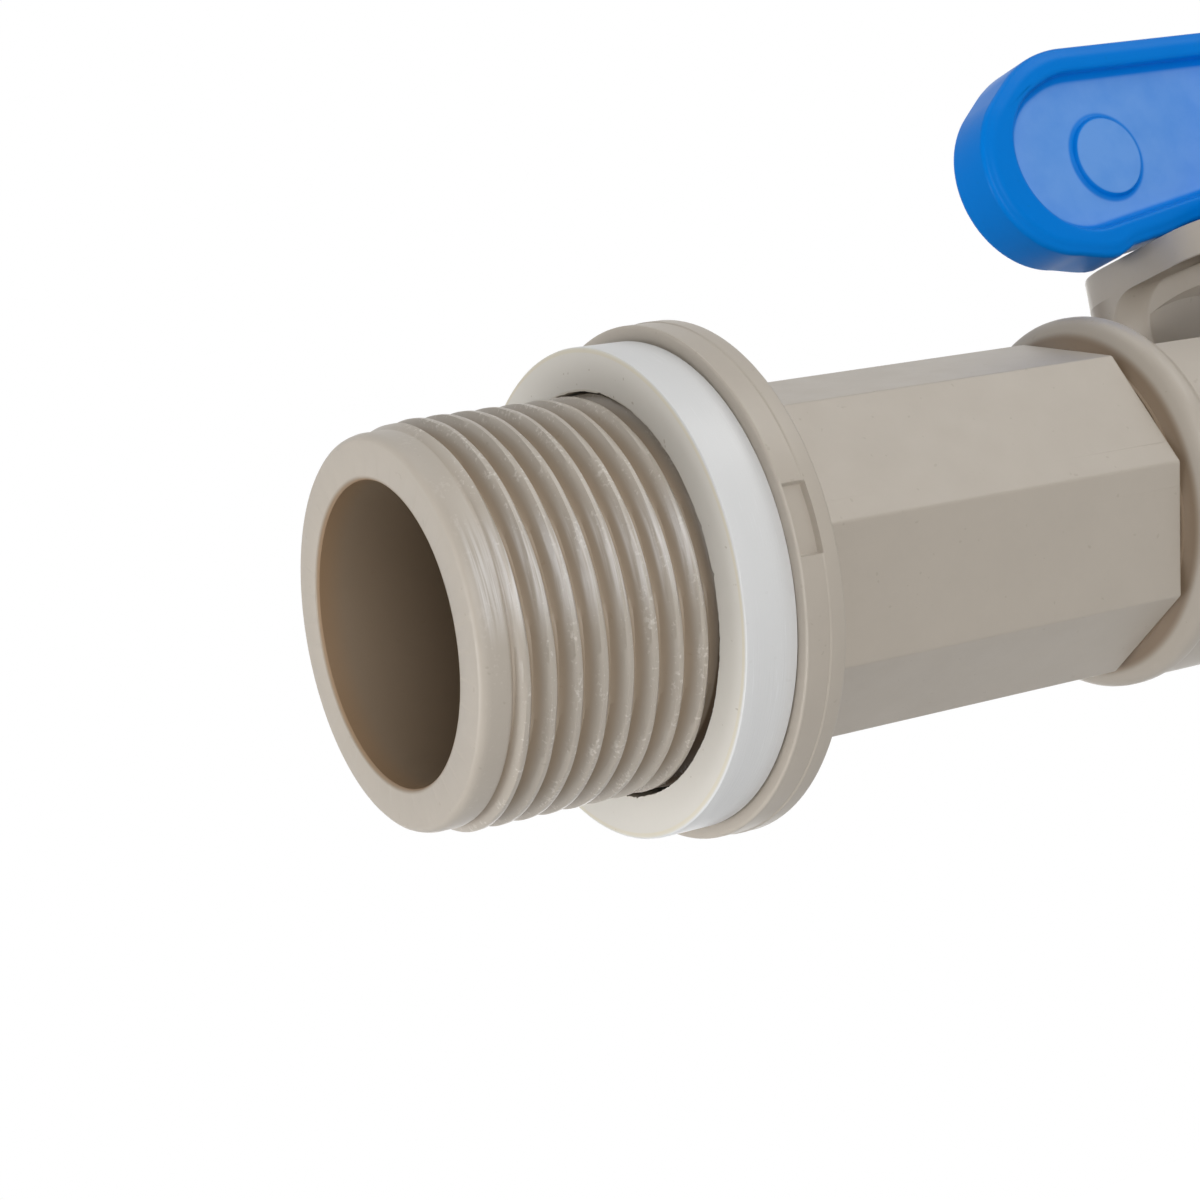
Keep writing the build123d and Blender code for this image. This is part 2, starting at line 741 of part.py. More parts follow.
# Steel grab ring with teeth that lean in the way the tube is pushed
with BuildPart() as grab_ring:
    with BuildSketch(Plane.XZ):
        turned_section(
            (socket_end_x, grab_root_d / 2),
            (socket_end_x, grab_outer_d / 2),
            (cap_shoulder_x, grab_outer_d / 2),
            (cap_shoulder_x, grab_root_d / 2),
            (cap_shoulder_x - grab_lean, grab_tip_d / 2),
            (socket_end_x - grab_lean, grab_tip_d / 2),
        )
    revolve(axis=Axis.X)
    tooth_reach = (grab_root_d - grab_tip_d) / 2
    with BuildSketch(Plane.YZ.offset(socket_end_x - grab_lean)):
        with PolarLocations(grab_root_d / 2, grab_teeth):
            Rectangle(2 * tooth_reach, grab_slot_width, align=(Align.MAX, Align.CENTER))
    extrude(amount=grab_lean + grab_thickness, mode=Mode.SUBTRACT)
grab_ring.part.label = "grab_ring"
export_step(grab_ring.part, "parts/grab_ring.step")

# Collet that releases the tube when its head is pushed in
with BuildPart() as collet:
    with BuildSketch(Plane.XZ) as collet_section:
        turned_section(
            (collet_nose_x, tube_bore_r),
            (collet_nose_x, collet_outer_r + collet_bead),
            (collet_nose_x + collet_bead_length, collet_outer_r + collet_bead),
            (collet_nose_x + collet_bead_length, collet_outer_r),
            (collet_head_x, collet_outer_r),
            (collet_head_x, collet_head_d / 2),
            (collet_head_x + collet_head_thickness, collet_head_d / 2),
            (collet_head_x + collet_head_thickness, tube_bore_r),
        )
        fillet(collet_section.vertices().group_by(Axis.Y)[-1], collet_head_round)
    revolve(axis=Axis.X)
    with BuildSketch(Plane.YZ.offset(collet_nose_x)):
        for angle in (45, 135):
            with Locations(Location((0, 0, 0), angle)):
                Rectangle(2 * collet_head_d, collet_slot_width)
    extrude(amount=collet_slot_length, mode=Mode.SUBTRACT)
collet.part.label = "collet"
export_step(collet.part, "parts/collet.step")

# Cap nut that clamps the grab ring and keeps the collet in
with BuildPart() as cap_nut:
    with BuildSketch(Plane.XZ) as cap_section:
        turned_section(
            (cap_start_x, socket_tube_d / 2 + cap_thread_gap),
            (cap_start_x, cap_d / 2),
            (cap_end_x, cap_d / 2),
            (cap_end_x, collet_outer_r + collet_gap),
            (cap_lip_x, collet_outer_r + collet_gap),
            (cap_lip_x, collet_outer_r + collet_bead + collet_gap),
            (cap_shoulder_x, collet_outer_r + collet_bead + collet_gap),
            (cap_shoulder_x, socket_tube_d / 2 + cap_thread_gap),
        )
        fillet(cap_section.vertices().group_by(Axis.Y)[-1], cap_edge_round)
    revolve(axis=Axis.X)
    with BuildSketch(Plane.YZ.offset(cap_start_x)):
        with PolarLocations((cap_d + cap_flute_d) / 2 - cap_flute_depth, cap_flutes):
            Circle(cap_flute_d / 2)
    extrude(amount=cap_end_x - cap_start_x, mode=Mode.SUBTRACT)
cap_nut.part.label = "cap_nut"
export_step(cap_nut.part, "parts/cap_nut.step")
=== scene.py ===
"""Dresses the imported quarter-turn tap: moulded forms, thread, finishes, camera and light.

Lengths are in millimetres and become metres when a piece is finished. The flow axis is X,
the stem axis is parallel to Z, and the camera looks from the -Y side.
"""
import math

import bmesh
import bpy
from mathutils import Matrix, Vector, noise
from mathutils.geometry import delaunay_2d_cdt


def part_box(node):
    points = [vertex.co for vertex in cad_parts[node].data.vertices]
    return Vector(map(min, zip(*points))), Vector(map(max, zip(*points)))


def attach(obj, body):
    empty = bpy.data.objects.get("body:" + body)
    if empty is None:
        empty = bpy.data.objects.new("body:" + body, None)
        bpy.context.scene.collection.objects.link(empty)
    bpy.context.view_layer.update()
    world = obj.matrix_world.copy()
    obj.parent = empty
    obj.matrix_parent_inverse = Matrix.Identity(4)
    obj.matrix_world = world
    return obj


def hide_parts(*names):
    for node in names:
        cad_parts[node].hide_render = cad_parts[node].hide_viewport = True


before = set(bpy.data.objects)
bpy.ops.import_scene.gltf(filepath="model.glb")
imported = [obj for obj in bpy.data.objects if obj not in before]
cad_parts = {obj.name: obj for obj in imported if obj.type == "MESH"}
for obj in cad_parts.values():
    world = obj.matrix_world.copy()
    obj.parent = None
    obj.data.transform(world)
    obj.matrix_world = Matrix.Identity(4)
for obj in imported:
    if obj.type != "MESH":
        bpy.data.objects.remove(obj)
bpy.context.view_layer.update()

MM = 0.001


def node_mm(node):
    """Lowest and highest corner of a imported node, in millimetres."""
    low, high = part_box(node)
    return [v / MM for v in low], [v / MM for v in high]


body_low, body_high = node_mm("valve_body")
washer_low, washer_high = node_mm("inlet_washer")
handle_low, handle_high = node_mm("handle")

# Spigot and its thread, whose valley and flank are shares of half the pitch
SPIGOT_FRONT = body_low[0]
BORE_R = 9.85
FACE_R = 12.3
LEAD_R = 12.75
LEAD_LENGTH = 2.0
THREAD_ROOT_R = 12.06
THREAD_CREST_R = 13.22
THREAD_PITCH = 1.8
THREAD_MIDDLE = -11.07
THREAD_MIDDLE_ANGLE = math.radians(-108)
THREAD_END = -1.0
THREAD_RUN_OUT = 0.8
THREAD_VALLEY = 0.12
THREAD_FLANK = 0.70
THREAD_ROWS = 13

# Flange, octagonal neck and collar
FLANGE_R = -body_low[1]
FLANGE_EDGE = 0.25
FLANGE_BACK = 3.0
RECESS_X = (0.22, 1.78)
RECESS_HALF = 2.3
RECESS_DEPTH = 0.4
RECESS_WALL = 0.05
RECESS_END_WALL = 0.06
RIM_STEP = 0.07
NECK_CORNER_R = 12.56
NECK_CORNER_ROUND = 0.35
NECK_END = 36.1
COLLAR_R = 13.75
COLLAR_END = 39.0
GROOVE_R = 11.6
TUBE_R = 13.45

# Housing, mouth and waterway
PIVOT = (handle_low[0] + handle_high[0]) / 2
SEAT_FLOOR = 53.4
SOCKET_FRONT = 74.6
HOUSING_R = 15.2
MOUTH_END = body_high[0]
MOUTH_R = 16.6
WATERWAY_R = 8.5
CHAMBER_R = 12.7
MOUTH_THREAD_R = 13.6
FACE_RING_R = (14.22, 15.78)
FACE_RING_DEPTH = 1.5

# Pedestal
PLATE_TOP = body_high[2]
PLATE_LOW = PLATE_TOP - 2.6
PLATE_HALF = 15.1
PLATE_ROUND = 6.0
CORE_STEP = 1.7
CORE_FLOOR = 6.0
POST_DRAFT = 0.08
POST_EDGE = 3.4
POST_CORNER = 3.6
POST_BLEND = 1.3
RELIEF_FLOOR = 10.6
RELIEF_SLOPE = math.tan(math.radians(9.0))
RELIEF_SIDE = -25.0
STEM_BORE_R = 3.75
SHOULDER_BORE_R = 5.45
SHOULDER_BORE_TOP = 14.7
STOP_SLOT_R = (6.2, 8.4)
STOP_SLOT_DEPTH = 1.6
STOP_SLOT_HALF_ANGLE = math.radians(56.5)

# Washer
WASHER_R = (washer_high[1] - washer_low[1]) / 2
WASHER_HOLE_R = 13.42
WASHER_TILT = math.radians(1.15)
WASHER_FRONT = washer_low[0]
WASHER_BACK = -WASHER_R * math.sin(WASHER_TILT)
WASHER_DROP = 0.06

# Handle
REACH = (handle_high[0] - handle_low[0]) / 2
END_LOW_R = 7.2
END_HIGH_R = 10.1
END_LOW = PLATE_TOP + 6.9
END_HIGH = PLATE_TOP + 6.0
END_SHIFT = 3.4
WAIST_LOW = PLATE_TOP + 2.75
HANDLE_TOP = handle_high[2]
HANDLE_LOW = PLATE_TOP + 0.3
HALF_THICKNESS = 2.25
EDGE_ROUND = 0.45
RIM_CROWN = 0.2
RIM_CROWN_WIDTH = 0.7
UNDERSIDE_SAG = 0.35
UNDERSIDE_SAG_FROM = (9.5, 13.5)
UNDERSIDE_DIP = 0.5
UNDERSIDE_DIP_FROM = (16.1, 18.0)
UNDERSIDE_RISE = (18.0, 22.0)

# Handle's pockets: the floor's outline, and the wall round it
POCKET_DEPTH = 1.1
POCKET_LIP = 0.4
POCKET_LIP_DROP = 0.3
POCKET_STEP = 0.03
POCKET_FILLET = 0.95
POCKET_LOW_R = 5.0
POCKET_HIGH_R = 7.7
POCKET_REACH = REACH - 4.07
POCKET_LOW = PLATE_TOP + 7.5
POCKET_HIGH = PLATE_TOP + 5.35
POCKET_SHIFT = 1.76
POCKET_WAIST_LOW = WAIST_LOW + 2.9
POCKET_WAIST_HIGH = HANDLE_TOP - 3.0

# Round marks on the pockets' floors
MARK_R = 3.2
MARK_FOOT_R = MARK_R + 0.45
MARK_LIP = 0.24
MARK_STEP = 0.03
MARK_HEIGHT = 0.4
MARK_FROM_PIVOT = 16.0
MARK_Z = PLATE_TOP + 7.3

# Handle's hub and bosses, stem socket, screw well and stop tab
HUB_R = 8.8
HUB_TOP = HANDLE_LOW + 2.8
BOSS_R = 4.8
SCREW_BOSS_R = 3.7
SOCKET_TOP = 28.05
STEM_SOCKET_R = 3.45
STEM_SOCKET_FLAT = 2.65
WELL_FLOOR = 30.05
SCREW_HOLE_R = 1.45
SCREW_WELL_R = 2.5
TAB_PLAY = 0.15
TAB_ANGLES = (math.radians(35), math.radians(55))

# How finely the forms are divided, and where the body's angles lie closer together, in degrees
BODY_STEPS = 320
WASHER_STEPS = 420
BORE_STEPS = 200
FACE_RING_STEPS = 160
HUB_STEPS = 128
STEM_BORE_STEPS = 96
SCREW_WELL_STEPS = 64
MARK_STEPS = 64
RUN_STEPS = 26
CORNER_ANGLES = (-0.75, -0.45, -0.2, 0.2, 0.45, 0.75)
RECESS_ANGLES = (-7.9, -7.72, -7.5, -7.3, 7.3, 7.5, 7.72, 7.9)
SHARP_ANGLE = math.radians(32)

# Camera that matches the photograph: its place in millimetres, its axes and its lens
CAMERA_AT = Vector((-87.944, -145.934, -20.077))
CAMERA_FORWARD = Vector((0.49330, 0.86200, 0.11669))
CAMERA_UP = Vector((0.16159, -0.22262, 0.96142))
CAMERA_LENS = 77.19
CAMERA_SENSOR = 36.0

# Pale floor: its height in millimetres, then in metres its half side, its middle and where it pales
FLOOR_Z = -250.0
FLOOR_HALF = 1.1
FLOOR_MIDDLE = (0.04, 0.0)
FLOOR_PALING = (0.35, 0.95)
FLOOR_LEVEL = 0.45

# Surroundings, and soft lamps round a middle: name, direction, distance, size, power and colour
WORLD_LEVEL = 0.15
LAMPS_MIDDLE = Vector((0.02, 0.0, 0.0))
LAMPS = [
    ("key", (0.49, -0.51, 0.70), 0.60, 0.30, 0.76, (1.0, 0.995, 0.98)),
    ("overhead", (0.0, -0.1, 1.0), 0.60, 0.40, 0.54, (1.0, 1.0, 1.0)),
    ("far_left", (-1.0, 0.25, -0.1), 0.60, 0.30, 1.60, (1.0, 1.0, 1.0)),
    ("left", (-1.0, -0.25, 0.0), 0.60, 0.40, 0.35, (1.0, 1.0, 1.0)),
    ("front", (-0.3, -0.95, 0.05), 0.60, 0.40, 1.72, (1.0, 1.0, 1.0)),
    ("behind", (0.45, 0.85, 0.0), 0.70, 0.45, 0.80, (1.0, 1.0, 1.0)),
]


def smooth(low, high, value):
    """0 below low, 1 above high, and an eased step between."""
    t = min(1.0, max(0.0, (value - low) / (high - low)))
    return t * t * (3 - 2 * t)


def place(data):
    """Puts a mesh, lamp or camera into the scene as an object of the same name."""
    obj = bpy.data.objects.new(data.name, data)
    bpy.context.scene.collection.objects.link(obj)
    return obj


def mm_object(name, vertices, faces):
    """Mesh object whose units are still millimetres."""
    mesh = bpy.data.meshes.new(name)
    mesh.from_pydata(vertices, [], faces)
    obj = place(mesh)
    bm = bmesh.new()
    bm.from_mesh(mesh)
    bmesh.ops.remove_doubles(bm, verts=bm.verts, dist=1e-5)
    bmesh.ops.recalc_face_normals(bm, faces=bm.faces)
    bm.to_mesh(mesh)
    bm.free()
    return obj


def bake_modifiers(obj):
    """Turns the modified shape into the object's own mesh."""
    bpy.context.view_layer.update()
    graph = bpy.context.evaluated_depsgraph_get()
    mesh = bpy.data.meshes.new_from_object(obj.evaluated_get(graph))
    obj.modifiers.clear()
    obj.data = mesh


def join_or_cut(obj, tool, operation):
    """Adds a tool's shape to an object, or cuts it away, and removes the tool."""
    modifier = obj.modifiers.new("shape", "BOOLEAN")
    modifier.operation = operation
    modifier.solver = "EXACT"
    modifier.object = tool
    bake_modifiers(obj)
    bpy.data.objects.remove(tool)


def finish_piece(obj, body, nodes, material):
    """Scales a piece to metres, shades it, gives it its material, ties it to its body and hides the
    imported nodes it replaces.
    """
    mesh = obj.data
    mesh.transform(Matrix.Scale(MM, 4))
    mesh.polygons.foreach_set("use_smooth", [True] * len(mesh.polygons))
    mesh.set_sharp_from_angle(angle=SHARP_ANGLE)
    weighted = obj.modifiers.new("weighted", "WEIGHTED_NORMAL")
    weighted.keep_sharp = True
    bake_modifiers(obj)
    obj.data.materials.clear()
    obj.data.materials.append(material)
    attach(obj, body)
    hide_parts(*nodes)
    return obj


def along_flow(station, radius, angle):
    """Point of a form turned about the flow axis, its angle from +Z towards +Y."""
    return (station, radius * math.sin(angle), radius * math.cos(angle))


def along_stem(station, radius, angle):
    """Point of a form turned about the stem axis, its angle from +X towards +Y."""
    return (PIVOT + radius * math.cos(angle), radius * math.sin(angle), station)


def strip(count, a, b):
    """Faces between two rings of equal length whose first points have the numbers a and b."""
    return [(a + k, a + (k + 1) % count, b + (k + 1) % count, b + k) for k in range(count)]


def stacked(name, rings):
    """Closed form through rings of points of equal length."""
    count = len(rings[0])
    vertices = [point for ring in rings for point in ring]
    faces = [tuple(range(count)), tuple(range(len(vertices) - count, len(vertices)))]
    for a in range(0, len(vertices) - count, count):
        faces += strip(count, a, a + count)
    return mm_object(name, vertices, faces)


def turned(rows, angles, point, closed=False):
    """Surface through rows of (station, radius); a radius may depend on the angle."""
    count = len(angles)
    vertices, faces = [], []
    for station, radius in rows:
        for angle in angles:
            r = radius(angle) if callable(radius) else radius
            vertices.append(point(station, r, angle))
    pairs = [(i, i + 1) for i in range(len(rows) - 1)]
    if closed:
        pairs.append((len(rows) - 1, 0))
    else:
        faces.append(tuple(range(count)))
        faces.append(tuple(range((len(rows) - 1) * count, len(rows) * count)))
    for i, j in pairs:
        faces += strip(count, i * count, j * count)
    return vertices, faces


def quarter(steps):
    """Sines and cosines over a quarter turn."""
    angles = [math.pi / 2 * k / steps for k in range(steps + 1)]
    return [(math.sin(angle), math.cos(angle)) for angle in angles]


def even_angles(steps):
    """Angles at even spacing round a full turn."""
    return [2 * math.pi * k / steps for k in range(steps)]


def body_angles():
    """Angles for the body, closer together at the octagon's corners and the rim's recess."""
    angles = even_angles(BODY_STEPS)
    for corner in range(8):
        angles += [math.radians(45 * corner + offset) for offset in CORNER_ANGLES]
    angles += [math.radians(270 + offset) for offset in RECESS_ANGLES]
    return sorted(a % (2 * math.pi) for a in angles)


def octagon_radius(angle, inset):
    """Radius of the neck's octagon, which has a rounded corner on each axis."""
    apothem = NECK_CORNER_R * math.cos(math.pi / 8)
    turn = (angle + math.pi / 8) % (math.pi / 4) - math.pi / 8
    flat = apothem / math.cos(math.pi / 8 - abs(turn))
    centre = (apothem - NECK_CORNER_ROUND) / math.cos(math.pi / 8)
    rise = NECK_CORNER_ROUND * math.sin(math.pi / 8)
    half_arc = math.atan2(rise, centre + NECK_CORNER_ROUND * math.cos(math.pi / 8))
    if abs(turn) < half_arc:
        aside = centre * math.sin(turn)
        flat = centre * math.cos(turn) + math.sqrt(NECK_CORNER_ROUND**2 - aside**2)
    return flat - inset


def thread_radius(x, angle):
    """Outer radius of the spigot's thread, with its start and its run-out."""
    turns = (angle - THREAD_MIDDLE_ANGLE) / (2 * math.pi)
    place = (x - THREAD_MIDDLE) / THREAD_PITCH + turns - 0.5
    crest = 1 - 2 * abs(place - round(place))
    ramp = min(1.0, max(0.0, (crest - THREAD_VALLEY) / THREAD_FLANK))
    shape = 0.5 * ramp + 0.5 * ramp * ramp * (3 - 2 * ramp)
    full = THREAD_ROOT_R + (THREAD_CREST_R - THREAD_ROOT_R) * shape
    full += (THREAD_ROOT_R - full) * smooth(THREAD_END - THREAD_RUN_OUT, THREAD_END, x)
    start = SPIGOT_FRONT + LEAD_LENGTH
    rising = LEAD_R + (THREAD_CREST_R - LEAD_R) * smooth(start - 0.1, start + 0.9, x)
    fade = smooth(start, start + 0.5, x)
    return min(rising, LEAD_R + (full - LEAD_R) * fade)


def rim_radius(x):
    """Flange radius by angle at a station, with the rectangular recess on the -Y side."""
    low, high = RECESS_X
    wall, end = RECESS_WALL, RECESS_END_WALL
    along = smooth(low - wall, low + wall, x) * (1 - smooth(high - wall, high + wall, x))

    def radius(angle):
        across = abs(FLANGE_R * math.cos(angle))
        inside = 1 - smooth(RECESS_HALF - end, RECESS_HALF + end, across)
        if math.sin(angle) > 0:
            inside = 0.0
        step = RIM_STEP * (1 - smooth(high - 0.04, high + 0.04, x))
        return FLANGE_R - RECESS_DEPTH * inside * along - step

    return radius


def spigot_rows():
    """Outer rows of the spigot: face, lead-in and thread."""
    f = SPIGOT_FRONT
    rows = [(f, BORE_R - 0.5), (f, FACE_R - 0.05), (f + 0.06, FACE_R + 0.13), (f + 0.22, FACE_R + 0.3)]
    rows += [(f + 0.45, LEAD_R - 0.06), (f + 0.7, LEAD_R)]
    x = f + LEAD_LENGTH - 0.2
    while x < -0.1:
        rows.append((x, lambda angle, x=x: thread_radius(x, angle)))
        x += THREAD_PITCH / THREAD_ROWS
    rows.append((0.0, THREAD_ROOT_R))
    return rows


def flange_rows():
    """Outer rows of the flange, with softened edges and the recess."""
    rows = []
    for sine, cosine in quarter(3):
        edge = FLANGE_EDGE * (1 - sine) + RIM_STEP
        rows.append((FLANGE_EDGE * 0.6 * (1 - cosine), FLANGE_R - edge))
    low, high = RECESS_X
    wall = RECESS_WALL
    for x in (low - wall, low + wall, (low + high) / 2, high - wall, high + wall):
        rows.append((x, rim_radius(x)))
    for sine, cosine in quarter(3):
        rows.append((FLANGE_BACK - FLANGE_EDGE * (1 - sine), FLANGE_R - FLANGE_EDGE * (1 - cosine)))
    return rows


def neck_row(x, inset=0.0):
    """One row of the octagonal neck."""
    return (x, lambda angle: octagon_radius(angle, inset))


def neck_rows():
    """Outer rows of the neck, the groove behind it and the collar."""
    b, e = FLANGE_BACK, NECK_END
    rows = [neck_row(b, -0.3), neck_row(b + 0.1, -0.09), neck_row(b + 0.32)]
    rows += [neck_row(12.0), neck_row(24.0), neck_row(e - 0.12), neck_row(e - 0.03, 0.04)]
    rows.append(neck_row(e, 0.14))
    rows += [(e + 0.02, GROOVE_R + 0.05), (e + 0.12, GROOVE_R), (e + 0.3, GROOVE_R + 0.03)]
    rows += [(e + 0.5, 11.95), (e + 0.68, 12.4), (e + 0.85, 12.85), (e + 1.05, 13.25)]
    rows += [(e + 1.3, 13.55), (e + 1.6, 13.71), (e + 1.9, COLLAR_R), (COLLAR_END - 0.5, COLLAR_R)]
    rows += [(COLLAR_END - 0.2, 13.68), (COLLAR_END, TUBE_R + 0.05), (COLLAR_END + 0.25, TUBE_R)]
    return rows


def housing_rows():
    """Outer rows of the tube, the ball housing and the mouth."""
    s, t, e = SEAT_FLOOR - 2.5, SOCKET_FRONT, MOUTH_END
    rows = [(s - 1.4, TUBE_R), (s - 0.9, TUBE_R + 0.1), (s - 0.5, TUBE_R + 0.35)]
    rows += [(s + 0.5, HOUSING_R - 0.35), (s + 0.9, HOUSING_R - 0.1), (s + 1.4, HOUSING_R)]
    rows += [(t - 2.0, HOUSING_R), (t - 1.5, HOUSING_R + 0.12), (t - 0.9, HOUSING_R + 0.55)]
    rows += [(t - 0.4, MOUTH_R - 0.3), (t - 0.05, MOUTH_R - 0.06), (t + 0.3, MOUTH_R)]
    rows += [(e - 0.3, MOUTH_R), (e - 0.09, MOUTH_R - 0.08), (e, MOUTH_R - 0.3), (e, MOUTH_THREAD_R - 0.5)]
    return rows


def waterway():
    """Solid to cut from the body: bore, waterway, chamber and threaded mouth."""
    f, e, over = SPIGOT_FRONT, NECK_END, 1.0
    rows = [(f - over, BORE_R + 0.22), (f - 0.01, BORE_R + 0.22), (f + 0.06, BORE_R + 0.1)]
    rows += [(f + 0.22, BORE_R), (10.0, BORE_R), (e - 4.3, BORE_R), (e - 3.9, BORE_R - 0.1)]
    rows += [(e - 0.3, WATERWAY_R + 0.05), (e + 0.2, WATERWAY_R), (SEAT_FLOOR, WATERWAY_R)]
    rows += [(SEAT_FLOOR, CHAMBER_R), (SOCKET_FRONT, CHAMBER_R)]
    rows += [(SOCKET_FRONT, MOUTH_THREAD_R), (MOUTH_END + over, MOUTH_THREAD_R)]
    return mm_object("waterway", *turned(rows, even_angles(BORE_STEPS), along_flow))


def face_ring_groove():
    """Ring-shaped groove in the mouth's end face."""
    low, high = FACE_RING_R
    floor, outside = MOUTH_END - FACE_RING_DEPTH, MOUTH_END + 1
    rows = [(floor, low), (floor, high), (outside, high), (outside, low)]
    form = turned(rows, even_angles(FACE_RING_STEPS), along_flow, closed=True)
    return mm_object("face_ring_groove", *form)


def prism(name, outline, low_z, high_z):
    """Closed prism over an outline in plan; a height may depend on x and y."""
    rings = []
    for height in (low_z, high_z):
        rings.append([(x, y, height(x, y) if callable(height) else height) for x, y in outline])
    return stacked(name, rings)


def octagon_outline(half, corner, steps=10):
    """Plan outline about the stem axis with rounded corners, counted from +X."""
    points = []
    centre = (half - corner) / math.cos(math.pi / 8)
    for side in range(8):
        middle = math.radians(22.5 + 45 * side)
        for k in range(steps + 1):
            angle = middle - math.pi / 8 + math.pi / 4 * k / steps
            x = PIVOT + centre * math.cos(middle) + corner * math.cos(angle)
            points.append((x, centre * math.sin(middle) + corner * math.sin(angle)))
    return points


def plate():
    """Plate of the pedestal: an octagonal prism whose top edge is rounded."""
    draft = POST_DRAFT * (PLATE_TOP - PLATE_LOW)
    profile = [(-draft, PLATE_LOW - 0.01), (0.0, PLATE_TOP - 0.25)]
    profile += [(0.07, PLATE_TOP - 0.07), (0.25, PLATE_TOP)]
    rings = []
    for inset, z in profile:
        outline = octagon_outline(PLATE_HALF - inset, PLATE_ROUND - inset)
        rings.append([(x, y, z) for x, y in outline])
    return stacked("plate", rings)


def recess_outline(side, drop):
    """Plan of the space beside a post, at a drop below the plate; it blends into the post."""
    draft = POST_DRAFT * (drop + PLATE_TOP - PLATE_LOW)
    core_face = PIVOT - PLATE_HALF + CORE_STEP
    face = PIVOT - PLATE_HALF - draft - 0.04
    outer, beyond = face - 1.5, -PLATE_HALF - 7
    rise = max(0.0, POST_CORNER - drop)
    middle = POST_EDGE - POST_CORNER + math.sqrt(POST_CORNER**2 - rise**2)
    points = [(outer, middle + POST_BLEND + 0.05)]
    for k in range(17):
        t = k / 16
        points.append((face + (core_face - face) * smooth(0, 1, t), middle + POST_BLEND * (1 - 2 * t)))
    low = -PLATE_HALF + CORE_STEP
    corner = (PIVOT + low * math.tan(math.pi / 8), low)
    elbow = (core_face, low * math.tan(math.pi / 8))
    for start, end in ((elbow, corner), (corner, (PIVOT, low))):
        points += [tuple(a + (b - a) * k / 6 for a, b in zip(start, end)) for k in range(1, 6)]
    points += [(PIVOT, low), (PIVOT, beyond), (outer, beyond)]
    return [(PIVOT + side * (PIVOT - x), -side * y) for x, y in points]


def recess_beside_post(side):
    """Solid to cut from the pedestal beside a post, with a wide rounded upper corner."""
    drops = [-1.0, 0.0] + [POST_CORNER * (1 - cosine) for _, cosine in quarter(8)[1:]]
    drops.append(PLATE_LOW - CORE_FLOOR + 1)
    rings = []
    for drop in drops:
        outline = recess_outline(side, max(0.0, drop))
        rings.append([(x, y, PLATE_LOW - drop) for x, y in outline])
    return stacked("beside_post", rings)


def relief_floor(_, y):
    """Height of the floor beside the inlet side's post; it slopes across the flow only."""
    return RELIEF_FLOOR + RELIEF_SLOPE * y


def pedestal():
    """Plate, core and posts under the handle."""
    high = PLATE_HALF + POST_DRAFT * (PLATE_TOP - PLATE_LOW)
    low = PLATE_HALF + POST_DRAFT * (PLATE_TOP - CORE_FLOOR)
    foot = [(x, y, CORE_FLOOR) for x, y in octagon_outline(low, PLATE_ROUND)]
    head = [(x, y, PLATE_LOW) for x, y in octagon_outline(high, PLATE_ROUND)]
    block = stacked("pedestal", [foot, head])
    for side in (-1, 1):
        join_or_cut(block, recess_beside_post(side), "DIFFERENCE")
    join_or_cut(block, plate(), "UNION")
    return block


def relief():
    """Space cut into the tube beside the inlet side's post."""
    start, end = COLLAR_END, PIVOT - PLATE_HALF + CORE_STEP
    outline = [(start, POST_EDGE), (end, POST_EDGE), (end, RELIEF_SIDE), (start, RELIEF_SIDE)]
    return prism("relief", outline, relief_floor, PLATE_LOW)


def stop_slot():
    """Arc slot in the plate's top for the handle's stop tab."""
    low, high = STOP_SLOT_R
    sweep = [STOP_SLOT_HALF_ANGLE * (k / 18 - 1) for k in range(37)]
    outline = [(PIVOT + high * math.cos(a), high * math.sin(a)) for a in sweep]
    outline += [(PIVOT + low * math.cos(a), low * math.sin(a)) for a in reversed(sweep)]
    return prism("stop_slot", outline, PLATE_TOP - STOP_SLOT_DEPTH, PLATE_TOP + 1)


def stem_bore():
    """Solid to cut from the pedestal: stem bore and the counterbore for the shoulder."""
    rows = [(0.0, SHOULDER_BORE_R), (SHOULDER_BORE_TOP, SHOULDER_BORE_R)]
    rows += [(SHOULDER_BORE_TOP, STEM_BORE_R), (PLATE_TOP - 0.25, STEM_BORE_R)]
    rows += [(PLATE_TOP + 0.02, STEM_BORE_R + 0.25), (PLATE_TOP + 1, STEM_BORE_R + 0.25)]
    return mm_object("stem_bore", *turned(rows, even_angles(STEM_BORE_STEPS), along_stem))


def build_body(material):
    """The one-piece body: turned form, pedestal and posts, and every cavity."""
    rows = spigot_rows() + flange_rows() + neck_rows() + housing_rows()
    body = mm_object("body_moulding", *turned(rows, body_angles(), along_flow))
    join_or_cut(body, relief(), "DIFFERENCE")
    join_or_cut(body, pedestal(), "UNION")
    for tool in (waterway(), face_ring_groove(), stem_bore(), stop_slot()):
        join_or_cut(body, tool, "DIFFERENCE")
    return finish_piece(body, "body", ["valve_body"], material)


def hole_wear(angle):
    """How far the washer's hole is nicked at an angle: slow and quick waves, and a few nicks."""
    at = Vector((math.cos(angle), math.sin(angle), 0.0))
    wave = noise.noise(at * 9) * 0.05 + noise.noise(at * 40) * 0.05
    return wave + max(0.0, noise.noise(at * 26 + Vector((3, 1, 2))) - 0.35) * 0.45


